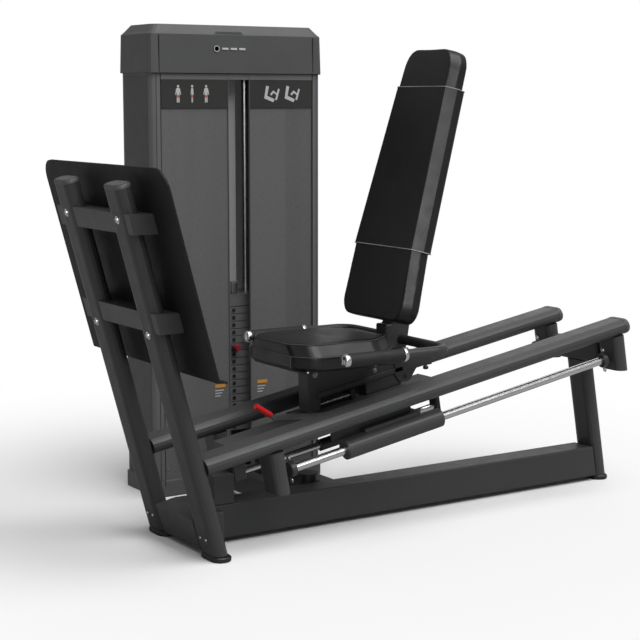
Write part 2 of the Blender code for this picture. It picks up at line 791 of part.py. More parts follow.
def carriage_frame(mats):
    """The saddle round the rack, with wings out to the bearing sleeves."""
    ref = RACK_TOP_REF
    wall = 0.008
    clear = 0.003
    inner = RACK_HALF_W + clear
    outer = inner + wall
    x_low, x_high = CARRIAGE_X
    down = RACK_H + 0.012
    body = incline_box("carriage_frame", ref, x_low, x_high, down, clear + wall, -outer, outer, mats["frame"])
    tunnel = incline_box("saddle_tunnel", ref, x_low - 0.1, x_high + 0.1, 0.2, clear, -inner, inner, mats["frame"])
    boolean(body, tunnel, "DIFFERENCE")
    for side, sign in SIDES:
        reach = RAIL_Y
        low_y, high_y = sorted((sign * (inner + 0.001), sign * reach))
        wing_ref = rod_ref()
        rise = SLEEVE_R + GAP
        wing = incline_box(f"wing_{side}", wing_ref, 0.560, 0.780, -rise, rise + 0.012, low_y, high_y, mats["frame"])
        boolean(body, wing, "UNION")


def seat_frame(mats):
    """The post and the tray under the seat pad."""
    top = SEAT_Z[0] - 0.022

    def deck(x):
        point = along(RACK_TOP_REF, x) + SLOPE_UP * (0.011 + GAP)
        return (point.x, point.z)

    points = [
        deck(0.432),
        deck(0.480),
        (0.478, 0.426),
        (0.655, 0.457),
        deck(0.662),
        deck(0.800),
        (0.832, 0.470),
        (0.832, 0.5656),
        (0.700, 0.5656),
        (0.700, top),
        (0.424, top),
    ]
    bevel(side_profile("seat_post", points, -0.030, 0.030, mats["frame"]), 0.003, 1)
    low = (0.330, -0.150, top + GAP)
    high = (0.690, 0.150, SEAT_Z[0] - 0.012)
    bevel(box("seat_tray", low, high, mats["plastic"]), 0.003, 1)


def seat_pad(mats):
    x0, x1 = SEAT_X
    front, side = SEAT_FRONT_HALF_W, SEAT_HALF_W
    rear = 0.120
    half = [(x0, front), (x0 + 0.050, side), (x1 - 0.085, side), (x1, rear)]
    outline = [(x, -y) for x, y in half] + [(x, y) for x, y in reversed(half)]
    low = SEAT_Z[0] - 0.012 + GAP
    points = [(x, y, low) for x, y in outline]
    bevel(prism("seat_pad", points, (0.0, 0.0, SEAT_Z[1] - low), mats["leather"]), 0.012, 2)


def handle_path():
    """The handle bar's centre line: forward grips joined round the back of the seat."""
    bend = 0.060
    steps = 5
    rear, y = HANDLE_REAR_X, HANDLE_Y
    corner = [
        (rear - bend + bend * math.sin(math.pi / 2 * i / steps), -y + bend - bend * math.cos(math.pi / 2 * i / steps))
        for i in range(steps + 1)
    ]
    near = [(HANDLE_FRONT_X, -y)] + corner
    far = [(x, -py) for x, py in reversed(near)]
    return [Vector((x, py, HANDLE_Z)) for x, py in near + far]


def handles(mats):
    path = handle_path()
    steps = 16
    bm = bmesh.new()
    rings = []
    for i, point in enumerate(path):
        before = path[max(i - 1, 0)]
        after = path[min(i + 1, len(path) - 1)]
        direction = (after - before).normalized()
        across = direction.cross(FLOOR_UP).normalized()
        turns = [2.0 * math.pi * k / steps for k in range(steps)]
        ring_points = [point + HANDLE_R * (math.cos(t) * across + math.sin(t) * FLOOR_UP) for t in turns]
        rings.append([bm.verts.new(p) for p in ring_points])
    for low, high in zip(rings, rings[1:]):
        for i in range(steps):
            j = (i + 1) % steps
            bm.faces.new((low[i], low[j], high[j], high[i]))
    bm.faces.new(rings[0])
    bm.faces.new(rings[-1])
    finish("handle_bar", bm, mats["frame"], None, round_shape=True)
    for side, sign in SIDES:
        grip(side, sign, mats)


def grip(side, sign, mats):
    steps = 20
    inner = HANDLE_R + 0.0004
    low = Vector((GRIP_X[0], sign * HANDLE_Y, HANDLE_Z))
    high = Vector((GRIP_X[1], sign * HANDLE_Y, HANDLE_Z))
    specs = ((low, inner), (low, GRIP_R), (high, GRIP_R), (high, inner))
    bm = bmesh.new()
    axis = (1.0, 0.0, 0.0)
    rings = [[bm.verts.new(p) for p in circle(c, axis, r, steps)] for c, r in specs]
    for first, second in zip(rings, rings[1:] + rings[:1]):
        for i in range(steps):
            j = (i + 1) % steps
            bm.faces.new((first[i], first[j], second[j], second[i]))
    finish(f"grip_{side}", bm, mats["rubber"], None, round_shape=True)


def back_front_x(z):
    """The front of the backrest pad: a straight upper part and a slightly steeper lower part."""
    lean = BACK_LEAN if z > BACK_WAIST.z else BACK_LOW_LEAN
    return BACK_WAIST.x + (z - BACK_WAIST.z) * math.tan(lean)


def back_half_width(z):
    return BACK_WAIST_HALF_W - BACK_TAPER * (z - BACK_WAIST.z)


def back_stations():
    """Heights up the pad and how far its rounded corners pull the side in at each."""
    low, high = BACK_Z
    steps = 4
    stations = []
    for i in range(steps + 1):
        turn = math.pi / 2 * (0.15 + 0.85 * i / steps)
        stations.append((low + BACK_CORNER_R * (1 - math.sin(turn)), BACK_CORNER_R * (1 - math.cos(turn))))
    rising = [(z, BACK_CORNER_R - pull) for z, pull in reversed(stations)]
    falling = [(low + high - z, pull) for z, pull in reversed(rising)]
    return rising + [(BACK_WAIST.z, 0.0)] + falling


def backrest_pad(mats):
    """The padded board, drawn as eight-sided sections from its lower end to its upper end."""
    depth, spread = BACK_CHAMFER
    bm = bmesh.new()
    loops = []
    for z, pull in back_stations():
        half = back_half_width(z) - pull
        corner = Vector((back_front_x(z), 0.0, z))
        sides = ((0.0, half), (depth, half + spread), (BACK_T - 0.010, half + spread), (BACK_T, half + 0.012))
        section = [corner + BACK_OUT * d + Vector((0.0, -y, 0.0)) for d, y in sides]
        section += [corner + BACK_OUT * d + Vector((0.0, y, 0.0)) for d, y in reversed(sides)]
        loops.append([bm.verts.new(p) for p in section])
    bm.faces.new(loops[0])
    bm.faces.new(loops[-1])
    for low, high in zip(loops, loops[1:]):
        for i in range(len(low)):
            j = (i + 1) % len(low)
            bm.faces.new((low[i], low[j], high[j], high[i]))
    finish("backrest_pad", bm, mats["leather"])


def backrest_post(mats):
    """The flat-sided post that rises from the seat frame and runs up behind the pad."""
    def face_x(z):
        return back_front_x(z) + (BACK_T + GAP) / math.cos(BACK_LEAN) + 0.004

    foot_z = 0.566
    points = [
        (0.735, foot_z),
        (0.822, foot_z),
        (0.836, 0.650),
        (face_x(0.720) + 0.046, 0.720),
        (face_x(BACK_POST_TOP_Z) + 0.012, BACK_POST_TOP_Z),
        (face_x(BACK_POST_TOP_Z), BACK_POST_TOP_Z),
        (face_x(BACK_WAIST.z), BACK_WAIST.z),
        (face_x(BACK_Z[0]), BACK_Z[0] - 0.026),
        (0.735, BACK_Z[0] - 0.026),
    ]
    post = side_profile("backrest_post", points, -BACK_POST_HALF_Y, BACK_POST_HALF_Y, mats["frame"])
    bevel(post, 0.004, 1)
    start = (HANDLE_REAR_X, -0.05, HANDLE_Z)
    end = (HANDLE_REAR_X, 0.05, HANDLE_Z)
    hole = rod("handle_hole", start, end, HANDLE_R + GAP, mats["frame"], 16)
    boolean(post, hole, "DIFFERENCE")


def lever(mats):
    """The seat-position lever, which turns on the saddle's side and lifts the pin out of the rack."""
    pivot = Vector((0.548, LEVER_Y, 0.380))
    points = [
        (0.262, 0.397),
        (0.270, 0.385),
        (0.440, 0.372),
        (0.548, 0.368),
        (0.558, 0.372),
        (0.562, 0.380),
        (0.558, 0.388),
        (0.548, 0.392),
        (0.440, 0.390),
        (0.278, 0.402),
    ]
    side_profile("seat_lever", points, LEVER_Y - 0.006, LEVER_Y + 0.006, mats["steel"], pivot)
    direction = Vector((-0.84, 0.0, 0.54)).normalized()
    start = Vector((0.2615, LEVER_Y, 0.401))
    rod("seat_lever_grip", start, start + direction * LEVER_GRIP_LENGTH, LEVER_GRIP_R, mats["red"], 16, pivot)


def build():
    mats = make_materials()
    for side, sign in SIDES:
        front_post(side, sign, mats)
        foot(f"front_foot_{side}", 0.0, sign * RAIL_Y, mats)
        rail(side, sign, mats)
        guide_rod(side, sign, mats)
    foot("rear_foot", leg_x(FOOT_H / 2), 0.0, mats)
    front_cross_member(mats)
    plate_tube("plate_tube_upper", PLATE_TUBE_Z[0], mats)
    plate_tube("plate_tube_lower", PLATE_TUBE_Z[1], mats)
    footplate(mats)
    stubs(mats)
    rear_frame(mats)
    base_beam(mats)
    link_beams(mats)
    stop_bracket(mats)
    tower_base(mats)
    tower_side("tower_side_left", False, mats)
    tower_side("tower_side_right", True, mats)
    tower_cap(mats)
    tower_panels(mats)
    weight_stack(mats)
    pulleys(mats)
    belts(mats)
    rack(mats)
    sleeves(mats)
    carriage_frame(mats)
    seat_frame(mats)
    seat_pad(mats)
    handles(mats)
    backrest_post(mats)
    backrest_pad(mats)
    lever(mats)


clear_scene()
LAYOUT = bpy.data.objects.new("machine_layout", None)
LAYOUT.location = (-X_MIDDLE, -Y_MIDDLE, 0.0)
bpy.context.scene.collection.objects.link(LAYOUT)
build()
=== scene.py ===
"""Looks for the seated leg press: materials, small parts, cushions, light and camera."""

import json
import math

import bmesh
import bpy
import numpy as np
from mathutils import Matrix, Vector


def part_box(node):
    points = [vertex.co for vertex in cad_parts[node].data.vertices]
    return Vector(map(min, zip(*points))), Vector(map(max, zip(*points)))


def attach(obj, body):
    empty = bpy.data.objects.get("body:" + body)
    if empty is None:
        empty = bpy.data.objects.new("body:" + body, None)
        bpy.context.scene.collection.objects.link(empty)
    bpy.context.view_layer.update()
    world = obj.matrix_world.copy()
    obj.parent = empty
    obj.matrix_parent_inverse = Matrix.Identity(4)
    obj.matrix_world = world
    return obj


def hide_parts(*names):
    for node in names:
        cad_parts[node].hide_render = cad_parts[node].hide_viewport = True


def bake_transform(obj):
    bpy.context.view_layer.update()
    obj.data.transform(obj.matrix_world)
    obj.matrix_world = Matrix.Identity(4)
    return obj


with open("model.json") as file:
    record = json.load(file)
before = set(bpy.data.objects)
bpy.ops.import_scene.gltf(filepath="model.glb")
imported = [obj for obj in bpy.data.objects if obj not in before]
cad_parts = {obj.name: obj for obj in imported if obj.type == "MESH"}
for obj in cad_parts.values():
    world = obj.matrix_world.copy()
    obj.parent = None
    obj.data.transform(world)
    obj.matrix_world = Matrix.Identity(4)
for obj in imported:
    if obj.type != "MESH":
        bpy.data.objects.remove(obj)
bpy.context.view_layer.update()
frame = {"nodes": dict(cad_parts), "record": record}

# The machine's own layout has x = 0 at the front posts' foot and y = 0 on the seat's centre plane.
OFFSET = Vector((-0.7000, -0.2208, 0.0))
INCLINE = math.radians(10.0)
POST_LEAN = math.radians(15.2)
SLOPE = Vector((math.cos(INCLINE), 0.0, math.sin(INCLINE)))
SLOPE_UP = Vector((-math.sin(INCLINE), 0.0, math.cos(INCLINE)))
POST_UP = Vector((-math.sin(POST_LEAN), 0.0, math.cos(POST_LEAN)))
POST_BACK = Vector((math.cos(POST_LEAN), 0.0, math.sin(POST_LEAN)))
X = Vector((1.0, 0.0, 0.0))
Y = Vector((0.0, 1.0, 0.0))
Z = Vector((0.0, 0.0, 1.0))
SIDES = (("near", -1.0), ("far", 1.0))
NODES = frame["nodes"]

# Flat-oval frame tube: the radius of its round sides and the flat between them.
TUBE_RADIUS = 0.026
TUBE_FLAT = 0.055

# The inclined lines: half the rails' spacing, and a point on each line.
RAIL_Y = 0.1775
RAIL_REF = (0.899, 0.0, 0.466)
ROD_REF = tuple(Vector(RAIL_REF) - SLOPE_UP * 0.107)
RACK_TOP_REF = (0.163, 0.0, 0.320)

# Tower: its front plane, the cap's and the signs' fronts, the slot, and the plates behind the slot.
TOWER_FRONT = 0.583
CAP_FRONT = 0.575
SIGN_FRONT = 0.5832
SIGN_HEIGHT = 0.060
SLOT_CENTER = 0.5285
STACK_FRONT = 0.632
PLATE_LOW = 0.1994
PLATE_PITCH = 0.0268
PLATES = 17
RESTING_PLATES = 11

# Backrest: its lean above and below the waist, and where the waist is.
BACK_LEAN = math.radians(16.35)
BACK_LOW_LEAN = math.radians(13.2)
BACK_OUT = Vector((math.cos(BACK_LEAN), 0.0, -math.sin(BACK_LEAN)))
BACK_WAIST_Z = 0.913
BACK_WAIST_X = 0.740

# Studio light: the world's strength on matte surfaces and in gloss, and the floor's bounce.
WORLD_LIGHT = 0.23
WORLD_GLOSS = 0.34
FLOOR_BOUNCE = 0.40

# The seat's walls and side bands: height, and how far the outline is drawn in at its sides and ends.
SEAT_LEVELS = (
    (0.550, 0.010, 0.010),
    (0.553, 0.004, 0.004),
    (0.562, 0.002, 0.002),
    (0.590, 0.002, 0.002),
    (0.5945, 0.003, 0.003),
    (0.600, 0.009, 0.003),
    (0.628, 0.033, 0.004),
    (0.6315, 0.040, 0.010),
    (0.6325, 0.060, 0.030),
)

# Sign outlines as shares of their width and height.
FIGURE = (
    (-0.16, 0.0), (-0.06, 0.0), (0.0, 0.42), (0.06, 0.0), (0.30, 0.0), (0.30, 0.46),
    (0.26, 0.62), (0.55, 0.42), (0.62, 0.46), (0.40, 0.80), (0.12, 0.84), (-0.12, 0.84),
    (-0.40, 0.80), (-0.62, 0.46), (-0.55, 0.42), (-0.26, 0.62), (-0.30, 0.46), (-0.30, 0.0),
)
FIGURE_BAND = ((-0.26, 0.28), (0.26, 0.28), (0.28, 0.42), (-0.28, 0.42))
SEAT_ICON = (
    ((-0.45, 0.25), (-0.30, 0.20), (-0.12, 0.95), (-0.32, 1.0)),
    ((-0.36, 0.22), (0.18, 0.02), (0.26, 0.20), (-0.28, 0.42)),
    ((0.30, 0.18), (0.42, 0.14), (0.62, 0.78), (0.52, 0.84)),
    ((-0.05, 0.50), (0.18, 0.72), (0.46, 0.52), (0.40, 0.44), (0.20, 0.58), (0.04, 0.42)),
)


# Materials


def new_material(name):
    mat = bpy.data.materials.new(name)
    mat.use_nodes = True
    shader = mat.node_tree.nodes["Principled BSDF"]
    return mat, mat.node_tree, shader


def object_coords(tree):
    return tree.nodes.new("ShaderNodeTexCoord").outputs["Object"]


def noise(tree, coords, scale, detail=4.0, roughness=0.55):
    node = tree.nodes.new("ShaderNodeTexNoise")
    node.inputs["Scale"].default_value = scale
    node.inputs["Detail"].default_value = detail
    node.inputs["Roughness"].default_value = roughness
    tree.links.new(coords, node.inputs["Vector"])
    return node.outputs["Fac"]


def ramp(tree, factor, stops):
    node = tree.nodes.new("ShaderNodeValToRGB")
    elements = node.color_ramp.elements
    while len(elements) < len(stops):
        elements.new(0.5)
    for element, (position, color) in zip(elements, stops):
        element.position = position
        element.color = (*color, 1.0) if len(color) == 3 else color
    tree.links.new(factor, node.inputs["Fac"])
    return node.outputs["Color"]


def gray(value):
    return (value, value, value)


def scaled(color, factor):
    return tuple(c * factor for c in color)


def wander(tree, coords, scale, low, high, socket, span=(0.3, 0.7), detail=4.0):
    """Feeds a socket with a tone that drifts over the surface between two values."""
    drift = ramp(tree, noise(tree, coords, scale, detail), [(span[0], low), (span[1], high)])
    tree.links.new(drift, socket)


def bump(tree, shader, height, strength, distance, before=None):
    node = tree.nodes.new("ShaderNodeBump")
    node.inputs["Strength"].default_value = strength
    node.inputs["Distance"].default_value = distance
    tree.links.new(height, node.inputs["Height"])
    if before is not None:
        tree.links.new(before, node.inputs["Normal"])
    tree.links.new(node.outputs["Normal"], shader.inputs["Normal"])
    return node.outputs["Normal"]


def mix_color(tree, factor, first, second, mode="MIX"):
    node = tree.nodes.new("ShaderNodeMix")
    node.data_type = "RGBA"
    node.blend_type = mode
    for socket, value in ((node.inputs[0], factor), (node.inputs[6], first), (node.inputs[7], second)):
        if isinstance(value, (int, float)):
            socket.default_value = value
        elif isinstance(value, tuple):
            socket.default_value = (*value, 1.0)
        else:
            tree.links.new(value, socket)
    return node.outputs[2]


def lighter_convex_edges(tree):
    """Lighter along convex edges, by how pointed the mesh is there."""
    pointiness = tree.nodes.new("ShaderNodeNewGeometry").outputs["Pointiness"]
    return ramp(tree, pointiness, [(0.52, gray(0.0)), (0.60, gray(1.0))])


def powder_coat(name, color, roughness, grain=900.0, depth=0.00025, shine=0.40):
    """Textured paint: fine orange peel, faint uneven tone and lighter edges."""
    mat, tree, shader = new_material(name)
    coords = object_coords(tree)
    stops = [(0.30, scaled(color, 0.86)), (0.72, scaled(color, 1.18))]
    tone = ramp(tree, noise(tree, coords, 6.0), stops)
    # Convex edges blend toward this lighter copy of the colour.
    edge_tone = tuple(c * 1.9 + 0.01 for c in color)
    tree.links.new(mix_color(tree, lighter_convex_edges(tree), tone, edge_tone), shader.inputs["Base Color"])
    low, high = gray(roughness - 0.05), gray(roughness + 0.07)
    wander(tree, coords, 22.0, low, high, shader.inputs["Roughness"], (0.25, 0.75))
    shader.inputs["Specular IOR Level"].default_value = shine
    bump(tree, shader, noise(tree, coords, grain, 2.0), 0.30, depth)
    return mat


def plain_plastic(name, color, roughness, grain=1400.0, strength=0.25):
    """Moulded plastic or print: a faint drift of tone and gloss, and a fine grain."""
    mat, tree, shader = new_material(name)
    coords = object_coords(tree)
    wander(tree, coords, 9.0, scaled(color, 0.9), color, shader.inputs["Base Color"])
    wander(tree, coords, 30.0, gray(roughness), gray(roughness + 0.08), shader.inputs["Roughness"])
    bump(tree, shader, noise(tree, coords, grain, 2.0), strength, 0.00015)
    return mat


def metal(name, color, roughness, streak=0.0):
    """Bare or plated steel, with fine streaks where it isn't polished."""
    mat, tree, shader = new_material(name)
    coords = object_coords(tree)
    shader.inputs["Metallic"].default_value = 1.0
    wander(tree, coords, 14.0, scaled(color, 0.93), color, shader.inputs["Base Color"])
    low, high = gray(roughness), gray(roughness + 0.07)
    wander(tree, coords, 45.0, low, high, shader.inputs["Roughness"], (0.3, 0.8), 6.0)
    if streak:
        bump(tree, shader, noise(tree, coords, 600.0, 3.0), streak, 0.0001)
    return mat


def leather(name, color, roughness):
    """Artificial leather: pebbled grain, faint creases and a soft sheen."""
    mat, tree, shader = new_material(name)
    coords = object_coords(tree)
    cells = tree.nodes.new("ShaderNodeTexVoronoi")
    cells.inputs["Scale"].default_value = 750.0
    tree.links.new(coords, cells.inputs["Vector"])
    grain = bump(tree, shader, cells.outputs["Distance"], 0.35, 0.0003)
    bump(tree, shader, noise(tree, coords, 60.0, 5.0), 0.12, 0.0010, grain)
    wander(tree, coords, 7.0, scaled(color, 0.8), scaled(color, 1.2), shader.inputs["Base Color"])
    low, high = gray(roughness - 0.04), gray(roughness + 0.06)
    wander(tree, coords, 18.0, low, high, shader.inputs["Roughness"])
    shader.inputs["Specular IOR Level"].default_value = 0.45
    return mat


def woven(name, color, roughness):
    """Webbing or thread: fine diagonal ribs."""
    mat, tree, shader = new_material(name)
    coords = object_coords(tree)
    wave = tree.nodes.new("ShaderNodeTexWave")
    wave.inputs["Scale"].default_value = 260.0
    wave.inputs["Distortion"].default_value = 0.6
    wave.bands_direction = "DIAGONAL"
    tree.links.new(coords, wave.inputs["Vector"])
    tone = ramp(tree, wave.outputs["Fac"], [(0.2, scaled(color, 0.7)), (0.8, color)])
    tree.links.new(tone, shader.inputs["Base Color"])
    shader.inputs["Roughness"].default_value = roughness
    bump(tree, shader, wave.outputs["Fac"], 0.3, 0.0003)
    return mat


def smoked(name, color, roughness):
    """Smoked acrylic with a dim view of what is behind it: soft upright streaks that are painted
    reflections, a fine speck, and a painted shade past x = 0.026 in its own space for the dark column seen
    through it.
    """
    mat, tree, shader = new_material(name)
    coords = object_coords(tree)
    stretch = tree.nodes.new("ShaderNodeMapping")
    stretch.inputs["Scale"].default_value = (9.0, 9.0, 0.25)
    tree.links.new(coords, stretch.inputs["Vector"])
    # The upright streaks are painted reflections: soft vertical bands between 0.90 and 1.0 of the colour.
    streaks = noise(tree, stretch.outputs["Vector"], 1.0, 2.0)
    wide = ramp(tree, streaks, [(0.30, scaled(color, 0.90)), (0.70, color)])
    speck = ramp(tree, noise(tree, coords, 700.0, 2.0), [(0.30, gray(0.90)), (0.70, gray(1.0))])
    tone = mix_color(tree, 1.0, wide, speck, "MULTIPLY")
    # Painted shade: past x = 0.026 the colour drops to 0.86 of itself, standing in for the dark column seen
    # through the panel.
    split = tree.nodes.new("ShaderNodeSeparateXYZ")
    tree.links.new(coords, split.inputs["Vector"])
    edge = ramp(tree, split.outputs["X"], [(0.018, gray(1.0)), (0.026, gray(0.86))])
    tree.links.new(mix_color(tree, 1.0, tone, edge, "MULTIPLY"), shader.inputs["Base Color"])
    wander(tree, coords, 160.0, gray(roughness), gray(roughness + 0.06), shader.inputs["Roughness"])
    shader.inputs["Alpha"].default_value = 0.84
    shader.inputs["Specular IOR Level"].default_value = 0.35
    return mat


def make_materials():
    return {
        "frame_paint": powder_coat("frame_paint", (0.0245, 0.0248, 0.0256), 0.40),
        "tower_paint": powder_coat("tower_paint", (0.070, 0.0705, 0.072), 0.50),
        "plate_paint": powder_coat("plate_paint", (0.0030, 0.0030, 0.0032), 0.50, 700.0, 0.0004, 0.20),
        "chrome": metal("chrome", (0.70, 0.70, 0.71), 0.18),
        "steel": metal("steel", (0.34, 0.34, 0.35), 0.32, 0.2),
        "weight_plate": powder_coat("weight_plate", (0.075, 0.075, 0.077), 0.50, 500.0, 0.0005),
        "black_plastic": plain_plastic("black_plastic", (0.012, 0.012, 0.013), 0.42),
        "cap_plastic": plain_plastic("cap_plastic", (0.084, 0.085, 0.087), 0.46, 1100.0, 0.35),
        "light_strip": plain_plastic("light_strip", (0.16, 0.16, 0.165), 0.40),
        "smoked_panel": smoked("smoked_panel", (0.190, 0.190, 0.192), 0.26),
        "sign_panel": plain_plastic("sign_panel", (0.030, 0.029, 0.028), 0.40, 600.0, 0.08),
        "print_white": plain_plastic("print_white", (0.62, 0.62, 0.62), 0.50, 400.0, 0.05),
        "print_red": plain_plastic("print_red", (0.50, 0.12, 0.10), 0.50, 400.0, 0.05),
        "label_orange": plain_plastic("label_orange", (0.75, 0.34, 0.05), 0.45, 400.0, 0.05),
        "rubber": plain_plastic("rubber", (0.011, 0.011, 0.012), 0.62, 1000.0, 0.45),
        "upholstery": leather("upholstery", (0.0075, 0.0075, 0.008), 0.36),
        "knob_red": plain_plastic("knob_red", (0.22, 0.020, 0.026), 0.30, 700.0, 0.2),
        "piping": plain_plastic("piping", (0.34, 0.34, 0.34), 0.45, 500.0, 0.2),
        "thread": woven("thread", (0.085, 0.085, 0.087), 0.70),
        "belt": woven("belt", (0.44, 0.44, 0.45), 0.62),
        "red_grip": plain_plastic("red_grip", (0.60, 0.008, 0.012), 0.36, 700.0, 0.2),
        "shadow_gap": plain_plastic("shadow_gap", (0.004, 0.004, 0.004), 0.7),
    }


MATS = make_materials()


# Mesh helpers


def at(point):
    """A point of the machine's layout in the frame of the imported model."""
    return Vector(point) + OFFSET


def link(name, data):
    obj = bpy.data.objects.new(name, data)
    bpy.context.scene.collection.objects.link(obj)
    return obj


def bridge(bm, rings, closed=False):
    """Joins equal loops with quads, and fills both ends unless the loops run in a ring."""
    following = rings[1:] + rings[:1] if closed else rings[1:]
    for low, high in zip(rings, following):
        for i in range(len(low)):
            j = (i + 1) % len(low)
            bm.faces.new((low[i], low[j], high[j], high[i]))
    if not closed:
        bm.faces.new(rings[0])
        bm.faces.new(rings[-1])


def circle(center, radius, u, v, steps):
    turns = [2.0 * math.pi * i / steps for i in range(steps)]
    return [center + radius * (math.cos(t) * u + math.sin(t) * v) for t in turns]


def make(name, bm, mat, body=None, smooth=True, angle=38.0):
    bmesh.ops.recalc_face_normals(bm, faces=bm.faces[:])
    mesh = bpy.data.meshes.new(name)
    bm.to_mesh(mesh)
    bm.free()
    mesh.materials.append(MATS[mat])
    if smooth:
        mesh.shade_smooth()
        mesh.set_sharp_from_angle(angle=math.radians(angle))
    obj = link(name, mesh)
    if body:
        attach(obj, body)
    return obj


def bevel(obj, width):
    mod = obj.modifiers.new("edges", "BEVEL")
    mod.width = width
    mod.segments = 2
    mod.limit_method = "ANGLE"
    mod.angle_limit = math.radians(30.0)
    mod.harden_normals = True


def basis(axis):
    """The axis as a unit vector, and two more at right angles to it."""
    axis = Vector(axis).normalized()
    hint = Y if abs(axis.y) < 0.9 else X
    u = (hint - axis * axis.dot(hint)).normalized()
    return axis, u, axis.cross(u)


def lathe(name, center, axis, profile, mat, body, steps=32):
    """A turned part: profile is (distance along the axis, radius), and a radius of 0 closes an end."""
    axis, u, v = basis(axis)
    center = at(center)
    bm = bmesh.new()
    rings = []
    for along, radius in profile:
        base = center + axis * along
        points = circle(base, radius, u, v, steps) if radius > 0.0 else [base]
        rings.append([bm.verts.new(p) for p in points])
    for low, high in zip(rings, rings[1:]):
        for i in range(steps):
            j = (i + 1) % steps
            corners = (low[i % len(low)], low[j % len(low)], high[j % len(high)], high[i % len(high)])
            bm.faces.new(list(dict.fromkeys(corners)))
    for ring in (rings[0], rings[-1]):
        if len(ring) > 2:
            bm.faces.new(ring)
    return make(name, bm, mat, body)


def extrude(name, points, vector, mat, body, edge=0.0):
    """A flat outline pushed along a vector, with its edges rounded by the width given."""
    bm = bmesh.new()
    low = [bm.verts.new(at(p)) for p in points]
    high = [bm.verts.new(at(p) + Vector(vector)) for p in points]
    bridge(bm, [low, high])
    obj = make(name, bm, mat, body)
    if edge:
        bevel(obj, edge)
    return obj


def block(name, lo, hi, mat, body, edge=0.0):
    corners = ((lo[0], lo[1]), (hi[0], lo[1]), (hi[0], hi[1]), (lo[0], hi[1]))
    points = [(x, y, lo[2]) for x, y in corners]
    return extrude(name, points, (0.0, 0.0, hi[2] - lo[2]), mat, body, edge)


def tube(name, points, radius, mat, body, steps, closed=False):
    """A round bar along a list of points of the layout."""
    path = [at(p) for p in points]
    last = len(path) - 1
    bm = bmesh.new()
    rings = []
    side = None
    for i, point in enumerate(path):
        before = path[i - 1] if (i or closed) else point
        after = path[(i + 1) % len(path)] if (i < last or closed) else point
        direction = (after - before).normalized()
        if side is None:
            side = basis(direction)[1]
        side = (side - direction * direction.dot(side)).normalized()
        ring = circle(point, radius, side, direction.cross(side), steps)
        rings.append([bm.verts.new(p) for p in ring])
    bridge(bm, rings, closed)
    return make(name, bm, mat, body)


def bolt(name, center, axis, radius, mat, body, washer=True):
    """A button-head screw with a hex socket on a washer."""
    r = radius
    base = 0.0015 if washer else 0.0
    profile = [(0.0, r * 1.45), (base, r * 1.45), (base, r)] if washer else [(0.0, r)]
    profile += [(base + r * 0.35, r * 0.97), (base + r * 0.60, r * 0.80), (base + r * 0.72, r * 0.55)]
    profile += [(base + r * 0.72, r * 0.42), (base + r * 0.35, r * 0.40), (base + r * 0.35, 0.0)]
    lathe(name, center, axis, profile, mat, body, 24)


def oval(radius, flat):
    """The section of a flat-oval tube, as (across, through) points."""
    steps = 12
    points = []
    for side in (1.0, -1.0):
        for i in range(steps + 1):
            turn = math.pi * (i / steps - 0.5) + (0.0 if side > 0 else math.pi)
            points.append((side * flat / 2 + radius * math.cos(turn), radius * math.sin(turn)))
    return points


def oval_plug(name, center, direction, rise):
    """A domed plastic plug over the end of a flat-oval tube."""
    through = Y.cross(direction)
    lip = 0.0008
    levels = [(-0.0100, lip), (-0.0094, lip), (0.0, lip)]
    for turn in (0.4, 0.8, 1.2, 1.5):
        levels.append((rise * math.sin(turn), -TUBE_RADIUS * 0.5 * (1 - math.cos(turn))))
    bm = bmesh.new()
    rings = []
    for along, inset in levels:
        base = at(center) + direction * along
        section = oval(TUBE_RADIUS + inset, TUBE_FLAT)
        rings.append([bm.verts.new(base + Y * a + through * b) for a, b in section])
    bridge(bm, rings)
    return make(name, bm, "cap_plastic", "frame", True, 50.0)


def on_slope(ref, x, up=0.0, y=0.0):
    """The point at x on the line through ref that runs up the incline."""
    point = Vector((x, y, ref[2] + (x - ref[0]) * math.tan(INCLINE)))
    return point + SLOPE_UP * up


def post_x(z):
    return -math.tan(POST_LEAN) * z


# Frame looks


def paint_nodes():
    """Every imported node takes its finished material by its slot."""
    tower = {"tower_side_left", "tower_side_right", "tower_base"}
    for part in frame["record"]["subparts"]:
        node = NODES[part["node"]]
        mat = MATS["tower_paint"] if part["node"] in tower else MATS[part["material_slot"]]
        if part["node"] == "selector_pin":
            mat = MATS["knob_red"]
        node.data.materials.clear()
        node.data.materials.append(mat)


def frame_details():
    for side, sign in SIDES:
        y = sign * RAIL_Y
        top = Vector((post_x(1.160), y, 1.160)) - POST_UP * 0.004
        oval_plug(f"post_cap_{side}", top, POST_UP, 0.005)
        end = on_slope(RAIL_REF, 1.652, 0.0, y) - SLOPE * 0.006
        oval_plug(f"rail_cap_{side}", end, SLOPE, 0.012)
        for k, z in enumerate((1.060, 0.717)):
            center = Vector((post_x(z), y, z)) - POST_BACK * TUBE_RADIUS
            bolt(f"post_bolt_{side}_{k}", center, -POST_BACK, 0.0085, "chrome", "frame")
        foot_bolts(side, y)
        rod_brackets(side, y)
    leg_bolts()


def leg_bolts():
    """The two pairs of screws at the foot of the rear leg."""
    for k, y in enumerate((-0.020, 0.020)):
        for j, z in enumerate((0.050, 0.095)):
            center = (1.7337 - math.tan(INCLINE) * z, y, z)
            bolt(f"leg_bolt_{k}_{j}", center, (1.0, 0.0, 0.18), 0.007, "steel", "frame")


def foot_bolts(side, y):
    for k, dy in enumerate((-0.018, 0.018)):
        center = Vector((post_x(0.075), y + dy, 0.075)) - POST_BACK * 0.026
        bolt(f"foot_bolt_{side}_{k}", center, -POST_BACK, 0.0055, "steel", "frame", False)


